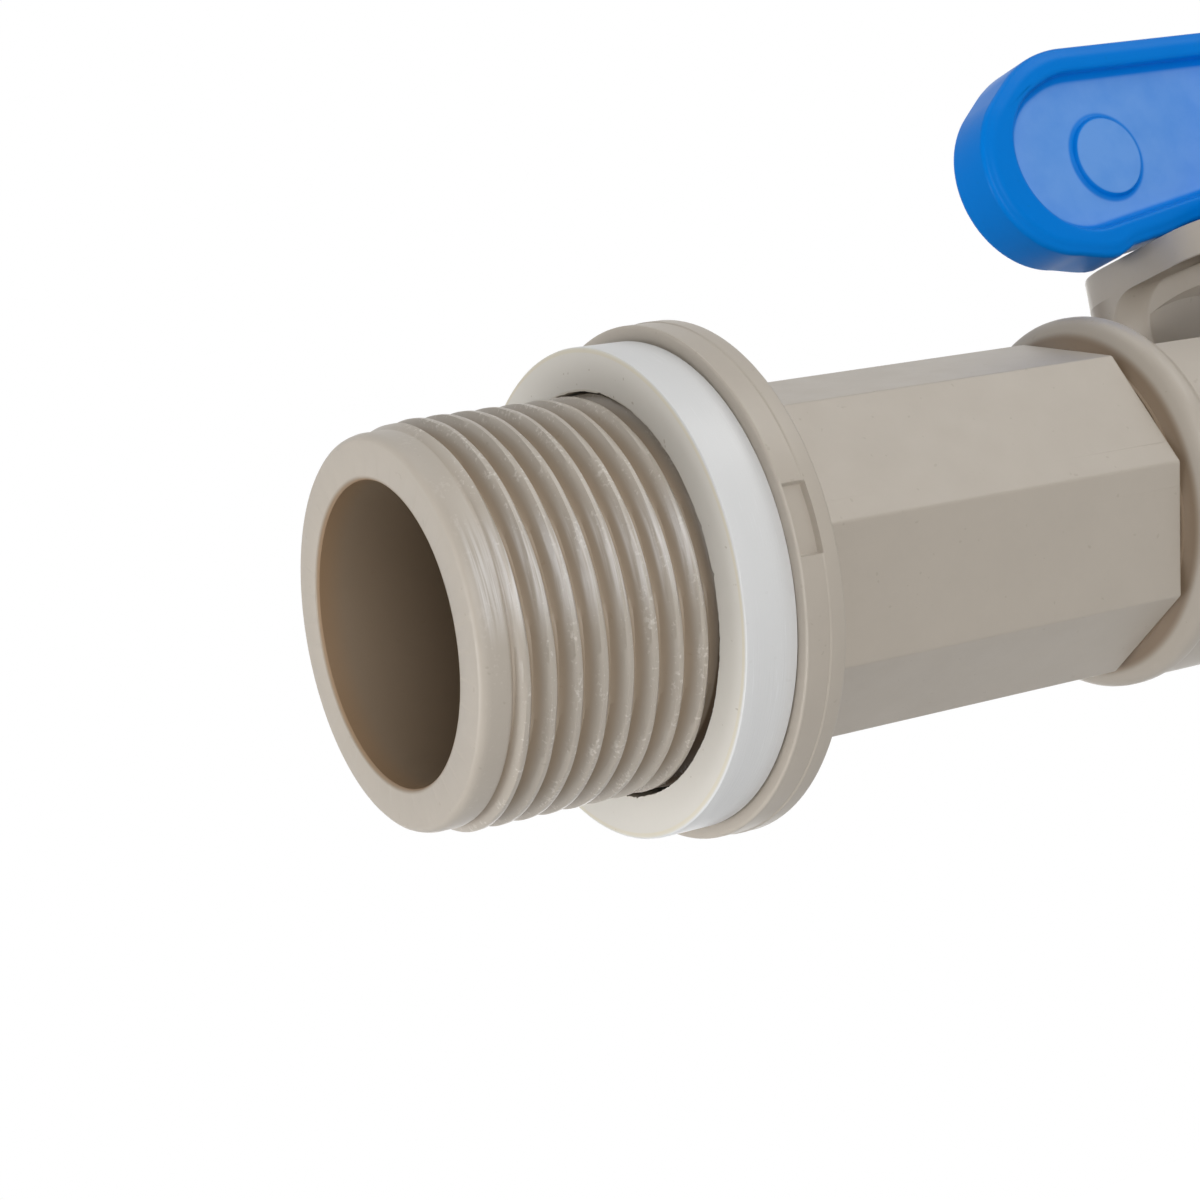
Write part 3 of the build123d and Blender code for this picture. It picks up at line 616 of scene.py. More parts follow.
def build_washer(material):
    """Soft flat washer: punched hole with a ragged edge, tilted as it rests on the spigot."""
    hole, rim, front, back = WASHER_HOLE_R, WASHER_R, WASHER_FRONT, WASHER_BACK

    def hole_row(x, amount):
        return (x, lambda angle: hole + 0.05 + amount * hole_wear(angle))

    rows = [hole_row(front, 1.0), hole_row(front + 0.12, 0.75), hole_row(front + 0.5, 0.4)]
    rows += [hole_row(back - 0.3, 0.2), hole_row(back, 0.3), (back, rim - 0.12), (back - 0.04, rim - 0.03)]
    rows += [(back - 0.14, rim), (back - 1.2, rim), (front + 1.2, rim), (front + 0.16, rim)]
    rows += [(front + 0.05, rim - 0.03), (front, rim - 0.14), (front, (hole + rim) / 2)]
    form = turned(rows, even_angles(WASHER_STEPS), along_flow, closed=True)
    washer = mm_object("soft_washer", *form)
    washer.data.transform(Matrix.Rotation(WASHER_TILT, 4, "Z"))
    washer.data.transform(Matrix.Translation((0, 0, -WASHER_DROP)))
    return finish_piece(washer, "body", ["inlet_washer"], material)


def tangent_angle(centre, radius, point, turn):
    """Angle at which the line from a point touches a circle; turn picks the side."""
    dx, dz = point[0] - centre[0], point[1] - centre[1]
    return math.atan2(dz, dx) + turn * math.acos(radius / math.hypot(dx, dz))


def run(start, end):
    """Points along a straight run, without its ends."""
    steps = range(1, RUN_STEPS)
    return [tuple(a + (b - a) * k / RUN_STEPS for a, b in zip(start, end)) for k in steps]


def arc(centre, radius, start, end, steps):
    """Points along an arc with both its ends."""
    sweep = [start + (end - start) * k / steps for k in range(steps + 1)]
    return [(centre[0] + radius * math.cos(a), centre[1] + radius * math.sin(a)) for a in sweep]


def lowered(point):
    """A point of the wing's underside, which stays close over the plate and dips outside it."""
    x, z = point
    away = abs(PIVOT - x)
    sag = UNDERSIDE_SAG * smooth(*UNDERSIDE_SAG_FROM, away)
    dip = UNDERSIDE_DIP * smooth(*UNDERSIDE_DIP_FROM, away)
    ending = 1 - smooth(*UNDERSIDE_RISE, away)
    return (x, z - (sag + dip) * ending) if z < END_LOW - 3 else point


def winged_ring(reach, low_r, high_r, low_z, high_z, shift, waist_low, waist_high, inset):
    """Outline of the two wings in x and z, drawn in evenly by an inset."""
    low = (PIVOT - reach + low_r, low_z)
    high = (low[0] + shift, high_z)
    top_angle = tangent_angle(high, high_r, (PIVOT, waist_high), 1)
    side_angle = tangent_angle(low, low_r - high_r, high, 1)
    low_angle = tangent_angle(low, low_r, (PIVOT, waist_low), -1) + 2 * math.pi
    top = (PIVOT, waist_high - inset / math.sin(top_angle))
    bottom = (PIVOT, waist_low - inset / math.sin(low_angle))
    curve = arc(high, high_r - inset, top_angle, side_angle, 30)
    curve += arc(low, low_r - inset, side_angle, low_angle, 36)
    wing = run(top, curve[0]) + curve + run(curve[-1], bottom)
    mirrored = [(2 * PIVOT - x, z) for x, z in reversed(wing)]
    return [top] + wing + [bottom] + mirrored


def outer_ring(inset):
    """Outline of the handle, drawn in by an inset."""
    heights = (END_LOW, END_HIGH, END_SHIFT, WAIST_LOW, HANDLE_TOP)
    return [lowered(point) for point in winged_ring(REACH, END_LOW_R, END_HIGH_R, *heights, inset)]


def pocket_ring(spread):
    """Outline of the pocket's floor, widened by a spread."""
    heights = (POCKET_LOW, POCKET_HIGH, POCKET_SHIFT, POCKET_WAIST_LOW, POCKET_WAIST_HIGH)
    return winged_ring(POCKET_REACH, POCKET_LOW_R, POCKET_HIGH_R, *heights, -spread)


def face_rings():
    """Rings of one handle face from the middle of its edge to the pocket's floor."""
    floor = HALF_THICKNESS - POCKET_DEPTH
    wall = POCKET_DEPTH - POCKET_LIP_DROP - POCKET_STEP
    rings = [(outer_ring(0.0), 0.0)]
    for sine, cosine in quarter(5):
        depth = HALF_THICKNESS - RIM_CROWN - EDGE_ROUND * (1 - sine)
        rings.append((outer_ring(EDGE_ROUND * (1 - cosine)), depth))
    for k in range(1, 5):
        depth = HALF_THICKNESS - RIM_CROWN * (1 - k / 4) ** 2
        rings.append((outer_ring(EDGE_ROUND + RIM_CROWN_WIDTH * k / 4), depth))
    for sine, cosine in quarter(5):
        spread = POCKET_FILLET + POCKET_STEP + POCKET_LIP * (1 - sine)
        rings.append((pocket_ring(spread), HALF_THICKNESS - POCKET_LIP_DROP * (1 - cosine)))
    for sine, cosine in quarter(7):
        rings.append((pocket_ring(POCKET_FILLET * cosine), floor + wall * (1 - sine)))
    return rings


def mark_rings(side):
    """Rings of a round mark from the pocket's floor up to its top."""
    floor = HALF_THICKNESS - POCKET_DEPTH
    foot, half = MARK_FOOT_R - MARK_R, MARK_HEIGHT / 2
    profile = []
    for sine, cosine in quarter(4):
        profile.append((MARK_R + foot * (1 - sine), floor + half * (1 - cosine)))
    for sine, cosine in quarter(4)[1:]:
        profile.append((MARK_R - MARK_STEP - MARK_LIP * (1 - cosine), floor + half + half * sine))
    centre = (PIVOT + side * MARK_FROM_PIVOT, MARK_Z)
    return [(arc(centre, radius, 0, 2 * math.pi, MARK_STEPS)[:-1], depth) for radius, depth in profile]


def loft(vertices, faces, rings, face_side):
    """Adds strips of faces between rings, and returns the numbers of the first and last ring."""
    count = len(rings[0][0])
    starts = []
    for ring, depth in rings:
        starts.append(len(vertices))
        vertices.extend((x, face_side * depth, z) for x, z in ring)
    for a, b in zip(starts, starts[1:]):
        faces += strip(count, a, b)
    return list(range(starts[0], starts[0] + count)), list(range(starts[-1], starts[-1] + count))


def fill_floor(vertices, faces, loops):
    """Fills the pocket's floor between its outline and the feet of the marks."""
    numbers = [i for loop in loops for i in loop]
    flat = [Vector((vertices[i][0], vertices[i][2])) for i in numbers]
    edges, at = [], 0
    for loop in loops:
        edges += [(at + k, at + (k + 1) % len(loop)) for k in range(len(loop))]
        at += len(loop)
    points, _, triangles, origins, _, _ = delaunay_2d_cdt(flat, edges, [], 1, 1e-6)
    marks = [Vector((PIVOT + side * MARK_FROM_PIVOT, MARK_Z)) for side in (-1, 1)]
    inner = MARK_FOOT_R * math.cos(math.pi / MARK_STEPS) - 1e-4
    for triangle in triangles:
        centre = sum((points[i] for i in triangle), Vector((0, 0))) / 3
        if all((centre - mark).length > inner for mark in marks):
            faces.append(tuple(numbers[origins[i][0]] for i in triangle))


def wings():
    """Both wings with their pockets and marks, as one closed mesh."""
    vertices, faces = [], []
    for face_side in (-1, 1):
        _, foot = loft(vertices, faces, face_rings(), face_side)
        loops = [foot]
        for side in (-1, 1):
            mark_foot, mark_top = loft(vertices, faces, mark_rings(side), face_side)
            loops.append(mark_foot)
            faces.append(tuple(mark_top))
        fill_floor(vertices, faces, loops)
    return mm_object("handle_moulding", vertices, faces)


def hub():
    """Hub on the pedestal, boss round the stem's head and boss round the screw."""
    low, top, upper = HANDLE_LOW, HANDLE_TOP, SCREW_BOSS_R
    rows = [(low, HUB_R - 0.25), (low + 0.07, HUB_R - 0.07), (low + 0.25, HUB_R), (HUB_TOP - 0.5, HUB_R)]
    rows += [(HUB_TOP - 0.15, HUB_R - 0.15), (HUB_TOP, HUB_R - 0.5), (HUB_TOP, BOSS_R + 0.7)]
    rows += [(HUB_TOP + 0.15, BOSS_R + 0.25), (HUB_TOP + 0.6, BOSS_R), (SOCKET_TOP, BOSS_R)]
    rows += [(SOCKET_TOP + 0.35, BOSS_R - 0.1), (WELL_FLOOR - 0.25, upper + 0.12)]
    rows += [(WELL_FLOOR + 0.25, upper), (top - 0.35, upper), (top - 0.1, upper - 0.1)]
    rows.append((top, upper - 0.35))
    return mm_object("hub", *turned(rows, even_angles(HUB_STEPS), along_stem))


def stem_socket():
    """Socket under the hub for the stem's flatted head."""
    half = math.asin(STEM_SOCKET_FLAT / STEM_SOCKET_R)
    outline = []
    for middle in (0.0, math.pi):
        outline += arc((PIVOT, 0), STEM_SOCKET_R, middle - half, middle + half, 16)
    return prism("stem_socket", outline, HANDLE_LOW - 1, SOCKET_TOP)


def screw_well():
    """Hole and well for the screw, down the middle of the upper boss."""
    rows = [(SOCKET_TOP - 1, SCREW_HOLE_R), (WELL_FLOOR, SCREW_HOLE_R), (WELL_FLOOR, SCREW_WELL_R)]
    rows += [(HANDLE_TOP - 0.15, SCREW_WELL_R), (HANDLE_TOP + 0.01, SCREW_WELL_R + 0.1)]
    rows.append((HANDLE_TOP + 1, SCREW_WELL_R + 0.1))
    return mm_object("screw_well", *turned(rows, even_angles(SCREW_WELL_STEPS), along_stem))


def stop_tab():
    """Tab under the hub that swings in the plate's arc slot."""
    low, high = STOP_SLOT_R[0] + TAB_PLAY, STOP_SLOT_R[1] - TAB_PLAY
    start, end = TAB_ANGLES
    outline = arc((PIVOT, 0), high, start, end, 8) + arc((PIVOT, 0), low, end, start, 8)
    return prism("stop_tab", outline, PLATE_TOP - STOP_SLOT_DEPTH + TAB_PLAY, HANDLE_LOW + 1.4)


def build_handle(material):
    """The one-piece handle: wings, hub, bosses and stop tab."""
    handle = wings()
    join_or_cut(handle, hub(), "UNION")
    join_or_cut(handle, stop_tab(), "UNION")
    join_or_cut(handle, stem_socket(), "DIFFERENCE")
    join_or_cut(handle, screw_well(), "DIFFERENCE")
    return finish_piece(handle, "handle_and_ball", ["handle"], material)


def srgb(red, green, blue):
    """Linear colour from 0-255 screen values."""
    values = []
    for value in (red / 255, green / 255, blue / 255):
        values.append(value / 12.92 if value <= 0.04045 else ((value + 0.055) / 1.055) ** 2.4)
    return (*values, 1.0)


# Colours of the finishes, and what a fleck multiplies its colour by
BODY_COLOR = srgb(180, 171, 159)
# Painted shade: warm dark tone for the body's hollows
HOLLOW_SHADE_COLOR = srgb(152, 131, 106)
# Painted shade: dark brown for gaps and recesses where little light reaches
PAINTED_SHADE_COLOR = srgb(92, 70, 48)
# Painted glow: warm light inside the bore's mouth
BORE_MOUTH_GLOW_COLOR = srgb(156, 122, 86)
SCUFF_COLOR = srgb(222, 216, 208)
# Painted highlight: pale streaks on the spigot's -Y side
HIGHLIGHT_STREAK_COLOR = srgb(229, 226, 224)
# Painted warm tint on the washer's face, for light from its beige surroundings
WASHER_FACE_BOUNCE_COLOR = srgb(214, 210, 202)
WASHER_SIDE_COLOR = srgb(220, 221, 222)
WASHER_LINE_COLOR = srgb(240, 241, 243)
WASHER_EDGE_COLOR = srgb(214, 205, 178)
WASHER_HOLE_COLOR = srgb(196, 186, 168)
HANDLE_COLOR = srgb(0, 124, 219)
POCKET_COLOR = srgb(108, 162, 234)
SEAT_COLOR = srgb(232, 231, 226)
BALL_COLOR = srgb(224, 222, 214)
STEM_COLOR = srgb(62, 62, 64)
SEAL_COLOR = srgb(34, 34, 35)
STEEL_COLORS = (srgb(178, 176, 172), srgb(206, 205, 202))
FLECK_SHADE = (0.62, 0.57, 0.5, 1)
BEIGE_SKIN = {"Color": BODY_COLOR, "Cloud": 0.055, "Fleck": 0.25}

# Where the finishes change, in millimetres. A pair named SPAN, HEIGHTS or RADII holds the limits of
# a stretch. In the other pairs the change is none at the first number and full at the second: a
# radius from the flow axis (_R), a station along it (_X), a side of it (_Y) or a height (_Z).
THREAD_SPAN = (-18.2, 0.2)
THREAD_WALL_R = (11.0, 11.5)
VALLEY_R = (13.0, 12.2)
BORE_WALL_R = (BORE_R + 0.35, BORE_R + 0.05)
BORE_FADE_X = (100.0, 60.0)
# Where the painted glow lies inside the bore's mouth
BORE_GLOW_R = (BORE_R + 0.13, BORE_R + 0.03)
BORE_GLOW_X = (-17.9, -19.9)
GROOVE_SPAN = (NECK_END - 0.05, NECK_END + 1.0)
GROOVE_WALL_R = (12.9, 12.2)
# Where painted shade falls under the washer and on the walls beside the inlet side's post
UNDER_WASHER_SPAN = (-3.4, 0.06)
UNDER_WASHER_R = (13.35, 13.0)
RELIEF_WALL_R = (TUBE_R - 0.03, TUBE_R - 0.2)
RELIEF_WALL_X = (COLLAR_END + 0.3, COLLAR_END + 1.5)
RELIEF_WALL_Z = (7.8, 8.3)
CORE_WALL_X = (46.5, 48.6)
CORE_WALL_Z = (9.2, 9.8)
POST_SIDE_Y = (POST_EDGE - 0.2, POST_EDGE + 2.0)
UNDER_PLATE_Z = (PLATE_LOW + 0.12, PLATE_LOW + 0.04)
CREST_SPAN = (-20.0, -0.5)
CREST_R = (12.55, 13.1)
# Where the painted highlight lies on the spigot's -Y side
HIGHLIGHT_SPAN = (-19.5, -1.0)
HIGHLIGHT_R = (12.5, 12.8)
HIGHLIGHT_Y = (-7.5, -10.0)
HIGHLIGHT_HEIGHTS = (-2.2, 3.2)
WASHER_SIDE_R = (16.1, 16.25)
WASHER_EDGE_RADII = (15.98, 16.28)
WASHER_EDGE_X = (-3.6, -3.8)
WASHER_HOLE_WALL_R = (13.62, 13.5)


class Net:
    """Adds linked nodes to one node tree."""

    def __init__(self, tree):
        self.tree = tree
        self.added = 0

    def add(self, kind, sockets=None, **settings):
        """Adds a node, sets its properties, and sets or links its inputs."""
        node = self.tree.nodes.new(kind)
        self.added += 1
        node.location = (self.added * 180, -(self.added % 4) * 160)
        for name, value in settings.items():
            setattr(node, name, value)
        for place, value in (sockets or {}).items():
            self.put(node, place, value)
        return node

    def put(self, node, place, value):
        """Links a result to one input of a node, or sets the input to a plain value."""
        if isinstance(value, bpy.types.NodeSocket):
            self.tree.links.new(value, node.inputs[place])
        else:
            node.inputs[place].default_value = value

    def math(self, operation, a, b=0.0, clamp=False):
        """Result of one math operation."""
        return self.add("ShaderNodeMath", {0: a, 1: b}, operation=operation, use_clamp=clamp).outputs[0]

    def times(self, first, *others):
        """Product of several values."""
        for value in others:
            first = self.math("MULTIPLY", first, value)
        return first

    def plus(self, first, *others):
        """Sum of several values."""
        for value in others:
            first = self.math("ADD", first, value)
        return first

    def most(self, first, *others):
        """Largest of several values."""
        for value in others:
            first = self.math("MAXIMUM", first, value)
        return first

    def length(self, a, b):
        """Distance that two steps at right angles make together."""
        return self.math("SQRT", self.plus(self.times(a, a), self.times(b, b)))

    def band(self, value, low, high):
        """0 at low, 1 at high, eased between."""
        sockets = {"Value": value, "From Min": low, "From Max": high}
        return self.add("ShaderNodeMapRange", sockets, interpolation_type="SMOOTHSTEP").outputs[0]

    def noise(self, position, scale, detail=3.0, rough=0.5):
        """Noise value at a position in metres."""
        sockets = {"Vector": position, "Scale": scale, "Detail": detail, "Roughness": rough}
        return self.add("ShaderNodeTexNoise", sockets).outputs["Fac"]

    def mix(self, amount, a, b, blend="MIX"):
        """Colour between a and b."""
        node = self.add("ShaderNodeMix", data_type="RGBA", blend_type=blend)
        for place, value in ((0, amount), (6, a), (7, b)):
            self.put(node, place, value)
        return node.outputs[2]

    def stretch(self, position, x, y, z):
        """Position scaled along each axis."""
        sockets = {0: position, 1: (x, y, z)}
        return self.add("ShaderNodeVectorMath", sockets, operation="MULTIPLY").outputs[0]


def effect_group(name, inputs, outputs):
    """Empty shader node group with named inputs and outputs, and its two end nodes."""
    tree = bpy.data.node_groups.new(name, "ShaderNodeTree")
    for label, kind, value in inputs:
        socket = tree.interface.new_socket(label, in_out="INPUT", socket_type="NodeSocket" + kind)
        socket.default_value = value
    for label, kind in outputs:
        tree.interface.new_socket(label, in_out="OUTPUT", socket_type="NodeSocket" + kind)
    net = Net(tree)
    return net, net.add("NodeGroupInput").outputs, net.add("NodeGroupOutput").inputs


def close_group(net, ends, **results):
    """Links a group's results to its outputs, and returns the group."""
    for label, socket in results.items():
        net.tree.links.new(socket, ends[label])
    return net.tree


def make_moulded_skin():
    """Group: faint colour clouds, flecks and orange peel of a moulded surface."""
    inputs = [("Position", "Vector", (0, 0, 0)), ("Color", "Color", (1, 1, 1, 1))]
    inputs += [("Cloud", "Float", 0.05), ("Fleck", "Float", 0.3)]
    outputs = [("Color", "Color"), ("Height", "Float"), ("Haze", "Float")]
    net, given, ends = effect_group("moulded_skin", inputs, outputs)
    position = given["Position"]
    wide = net.noise(position, 240, 4.0)
    fine = net.noise(position, 1500, 3.0)
    clouds = net.plus(net.times(wide, 1.4), net.times(fine, 0.6))
    level = net.plus(net.times(net.math("SUBTRACT", clouds, 1.0), given["Cloud"]), 1.0)
    shade = net.add("ShaderNodeCombineColor", {0: level, 1: level, 2: level}).outputs[0]
    clouded = net.mix(1.0, given["Color"], shade, "MULTIPLY")
    fleck = net.band(net.noise(position, 1900, 1.0), 0.735, 0.775)
    dark = net.mix(1.0, clouded, FLECK_SHADE, "MULTIPLY")
    coloured = net.mix(net.times(fleck, given["Fleck"]), clouded, dark)
    broad_peel = net.times(net.noise(position, 900, 2.0), 0.65)
    fine_peel = net.times(net.noise(position, 4200, 2.0), 0.35)
    haze = net.noise(position, 420, 3.0)
    return close_group(net, ends, Color=coloured, Height=net.plus(broad_peel, fine_peel), Haze=haze)


def make_scuffs():
    """Group: short pale scratches and chalky dots, where a mask lets them be."""
    inputs = [("Position", "Vector", (0, 0, 0)), ("Mask", "Float", 1.0), ("Spread", "Float", 0.5)]
    net, given, ends = effect_group("scuffs", inputs, [("Amount", "Float"), ("Height", "Float")])
    dots = net.noise(given["Position"], 3300, 2.0, 0.6)
    patches = net.noise(given["Position"], 420, 2.0)
    edge = net.math("SUBTRACT", 0.78, net.times(given["Spread"], 0.3))
    amount = net.band(net.plus(net.times(dots, 0.6), net.times(patches, 0.4)), 0.0, 1.0)
    ramp = net.math("MULTIPLY", net.math("SUBTRACT", amount, edge), 9.0, clamp=True)
    return close_group(net, ends, Amount=net.times(ramp, given["Mask"]), Height=dots)


def make_turning_lines():
    """Group: fine lines round the flow axis, as on a cut or turned edge."""
    inputs = [("Position", "Vector", (0, 0, 0)), ("Scale", "Float", 1.0)]
    net, given, ends = effect_group("turning_lines", inputs, [("Lines", "Float"), ("Height", "Float")])
    drawn = net.stretch(given["Position"], 9000, 260, 260)
    sockets = {0: drawn, "Scale": given["Scale"]}
    scaled = net.add("ShaderNodeVectorMath", sockets, operation="SCALE").outputs[0]
    lines = net.noise(scaled, 1.0, 3.0, 0.6)
    return close_group(net, ends, Lines=lines, Height=lines)


SKIN = make_moulded_skin()
SCUFFS = make_scuffs()
LINES = make_turning_lines()


class Finish(Net):
    """A material with a Principled shader and the object's own coordinates."""

    def __init__(self, name, roughness=0.5, **plain):
        self.material = bpy.data.materials.new(name)
        self.material.use_nodes = True
        super().__init__(self.material.node_tree)
        self.shader = self.tree.nodes["Principled BSDF"]
        self.shader.inputs["Roughness"].default_value = roughness
        for label, value in plain.items():
            self.shader.inputs[label.replace("_", " ")].default_value = value
        self.position = self.add("ShaderNodeTexCoord").outputs["Object"]
        axes = self.add("ShaderNodeSeparateXYZ", {0: self.position}).outputs
        self.x, self.y, self.z = (self.times(axis, 1 / MM) for axis in axes)

    def effect(self, group, **sockets):
        """Places an effect group and returns its outputs."""
        node = self.add("ShaderNodeGroup", node_tree=group)
        for label, value in {"Position": self.position, **sockets}.items():
            self.put(node, label, value)
        return node.outputs

    def between(self, value, low, high, soft=0.15):
        """1 where a value lies between two limits, with soft ends."""
        rising = self.band(value, low - soft, low + soft)
        falling = self.band(value, high + soft, high - soft)
        return self.times(rising, falling)

    def radius(self):
        """Distance from the flow axis, in millimetres."""
        return self.length(self.y, self.z)

    def feed(self, label, socket):
        """Links a result to the shader."""
        self.tree.links.new(socket, self.shader.inputs[label])

    def bump(self, height, depth_mm, strength=1.0):
        """Raises the surface by a height that runs from 0 to 1 over a depth."""
        sockets = {"Height": height, "Distance": depth_mm * MM, "Strength": strength}
        node = self.add("ShaderNodeBump", sockets)
        self.feed("Normal", node.outputs[0])


def body_finish():
    """Beige moulded plastic with painted shade, warm and dark, in its hollows and gaps, a painted glow
    inside the bore's mouth and a painted highlight across the spigot's side, scuffed along the thread's
    crests.
    """
    f = Finish("body_plastic", roughness=0.42, IOR=1.46)
    radius = f.radius()
    skin = f.effect(SKIN, **BEIGE_SKIN)

    # Painted shade: warmer and darker in the thread's valleys, the bore and the groove before the collar
    on_thread = f.times(f.between(f.x, *THREAD_SPAN), f.band(radius, *THREAD_WALL_R))
    valley = f.times(on_thread, f.band(radius, *VALLEY_R))
    inside = f.times(f.band(radius, *BORE_WALL_R), f.band(f.x, *BORE_FADE_X))
    groove = f.times(f.between(f.x, *GROOVE_SPAN), f.band(radius, *GROOVE_WALL_R))
    hollow_shade = f.most(f.times(valley, 0.75), inside, groove)
    color = f.mix(f.times(hollow_shade, 0.8), skin["Color"], HOLLOW_SHADE_COLOR)

    # Painted shade, dark where little light reaches: under the washer, beside the post, in the groove and
    # bore
    under_washer = f.times(f.between(f.x, *UNDER_WASHER_SPAN, 0.04), f.band(radius, *UNDER_WASHER_R))
    relief_wall = f.times(f.band(radius, *RELIEF_WALL_R), f.band(f.x, *RELIEF_WALL_X))
    relief_wall = f.times(relief_wall, f.band(f.z, *RELIEF_WALL_Z))
    core_wall = f.times(f.band(f.x, *CORE_WALL_X), f.band(f.z, *CORE_WALL_Z))
    beside_post = f.times(f.most(core_wall, relief_wall), f.band(f.math("ABSOLUTE", f.y), *POST_SIDE_Y))
    beside_post = f.times(beside_post, f.band(f.z, *UNDER_PLATE_Z))
    shaded = f.most(f.times(under_washer, 0.85), f.times(beside_post, 0.5))
    shaded = f.most(shaded, f.times(groove, 0.5), f.times(inside, 0.22))
    color = f.mix(shaded, color, PAINTED_SHADE_COLOR)

    # Painted glow: warm and lighter again just inside the bore's mouth, for light that comes through the
    # spigot's thin front end
    mouth = f.times(f.band(radius, *BORE_GLOW_R), f.band(f.x, *BORE_GLOW_X))
    color = f.mix(f.times(mouth, 0.5), color, BORE_MOUTH_GLOW_COLOR)

    # Pale scuffs on the thread's crests, and a painted highlight in streaks at mid-height on the spigot's
    # -Y side
    crest = f.times(f.between(f.x, *CREST_SPAN), f.band(radius, *CREST_R))
    scuff = f.effect(SCUFFS, Mask=crest, Spread=0.62)
    color = f.mix(f.times(scuff["Amount"], 0.55), color, SCUFF_COLOR)
    highlight_streaks = f.effect(LINES, Scale=0.6)
    painted_highlight = f.times(f.between(f.z, *HIGHLIGHT_HEIGHTS, 2.0), f.band(f.y, *HIGHLIGHT_Y))
    painted_highlight = f.times(painted_highlight, f.between(f.x, *HIGHLIGHT_SPAN), f.band(radius, *HIGHLIGHT_R))
    painted_highlight = f.times(painted_highlight, f.band(highlight_streaks["Lines"], 0.34, 0.62))
    color = f.mix(f.times(painted_highlight, 0.62), color, HIGHLIGHT_STREAK_COLOR)

    f.feed("Base Color", color)
    rough = f.math("SUBTRACT", 0.34, f.times(crest, 0.09))
    f.feed("Roughness", f.plus(rough, f.times(skin["Haze"], 0.16), f.times(scuff["Amount"], 0.15)))
    f.bump(f.plus(skin["Height"], f.times(scuff["Amount"], 0.8)), 0.02, 0.55)
    return f.material


def fitting_finish():
    """The same beige plastic on the tube socket and the cap nut."""
    f = Finish("fitting_plastic", roughness=0.42, IOR=1.46)
    skin = f.effect(SKIN, **BEIGE_SKIN)
    f.feed("Base Color", skin["Color"])
    f.feed("Roughness", f.plus(0.34, f.times(skin["Haze"], 0.16)))
    f.bump(skin["Height"], 0.02, 0.55)
    return f.material


def washer_finish():
    """White soft rubber: dusty face with specks and a painted warm tint of light from its beige
    surroundings, cut side with fine lines.
    """
    f = Finish("washer_rubber", roughness=0.5, IOR=1.45)
    radius = f.radius()
    skin = f.effect(SKIN, Color=WASHER_FACE_BOUNCE_COLOR, Cloud=0.03, Fleck=0.6)
    lines = f.effect(LINES, Scale=1.0)
    side = f.band(radius, *WASHER_SIDE_R)
    line = f.times(f.band(lines["Lines"], 0.62, 0.75), side)
    edge = f.times(f.between(radius, *WASHER_EDGE_RADII, 0.06), f.band(f.x, *WASHER_EDGE_X))
    hole = f.band(radius, *WASHER_HOLE_WALL_R)
    color = f.mix(f.times(side, 0.85), skin["Color"], WASHER_SIDE_COLOR)
    color = f.mix(f.times(line, 0.35), color, WASHER_LINE_COLOR)
    color = f.mix(f.times(edge, 0.5), color, WASHER_EDGE_COLOR)
    color = f.mix(f.times(hole, 0.5), color, WASHER_HOLE_COLOR)
    f.feed("Base Color", color)
    f.feed("Roughness", f.math("SUBTRACT", 0.58, f.times(side, 0.18)))
    height = f.plus(f.times(skin["Height"], 0.8), f.times(lines["Height"], side, 1.2))
    f.bump(height, 0.018, 0.6)
    return f.material


def handle_finish():
    """Blue moulded plastic: plain rim, and a pale haze on the pockets' floors and marks."""
    f = Finish("handle_plastic", roughness=0.3, IOR=1.3, Specular_IOR_Level=0.15)
    skin = f.effect(SKIN, Color=HANDLE_COLOR, Cloud=0.04, Fleck=0.1)
    normal = f.add("ShaderNodeTexCoord").outputs["Normal"]
    sideways = f.add("ShaderNodeSeparateXYZ", {0: normal}).outputs["Y"]
    facing = f.band(f.math("ABSOLUTE", sideways), 0.86, 0.99)
    mark_top = HALF_THICKNESS - POCKET_DEPTH + MARK_HEIGHT
    sunk = f.band(f.math("ABSOLUTE", f.y), mark_top + 0.12, mark_top)
    from_pivot = f.math("ABSOLUTE", f.math("SUBTRACT", f.x, PIVOT))
    beside_mark = f.math("SUBTRACT", from_pivot, MARK_FROM_PIVOT)
    from_mark = f.length(beside_mark, f.math("SUBTRACT", f.z, MARK_Z))
    mark_wall = f.between(from_mark, MARK_R - 0.18, MARK_R + 0.38, 0.14)
    above_hub = f.band(f.z, HUB_TOP + 0.1, HUB_TOP + 0.4)
    past_hub = f.band(from_pivot, HUB_R + 0.1, HUB_R + 0.5)
    flat = f.math("SUBTRACT", 1.0, f.times(mark_wall, 0.9))
    haze = f.times(sunk, flat, facing, f.most(above_hub, past_hub))
    patchy = f.math("ADD", 0.62, f.times(skin["Haze"], 0.62), clamp=True)
    f.feed("Base Color", f.mix(f.times(haze, patchy), skin["Color"], POCKET_COLOR))
    f.feed("Roughness", f.plus(0.27, f.times(haze, 0.3), f.times(skin["Haze"], 0.1)))
    f.bump(skin["Height"], 0.014, 0.5)
    return f.material


def plain_finish(name, color, roughness, cloud=0.04, fleck=0.15):
    """Moulded or turned finish in one colour with the shared skin."""
    f = Finish(name, roughness=roughness)
    skin = f.effect(SKIN, Color=color, Cloud=cloud, Fleck=fleck)
    f.feed("Base Color", skin["Color"])
    f.feed("Roughness", f.plus(roughness - 0.06, f.times(skin["Haze"], 0.14)))
    f.bump(skin["Height"], 0.012, 0.5)
    return f.material


def steel_finish():
    """Stainless steel with fine turned lines."""
    f = Finish("steel", roughness=0.3, Metallic=1.0)
    lines = f.effect(LINES, Scale=1.6)
    f.feed("Base Color", f.mix(lines["Lines"], *STEEL_COLORS))
    f.feed("Roughness", f.plus(0.2, f.times(lines["Lines"], 0.22)))
    f.bump(lines["Height"], 0.006, 0.4)
    return f.material


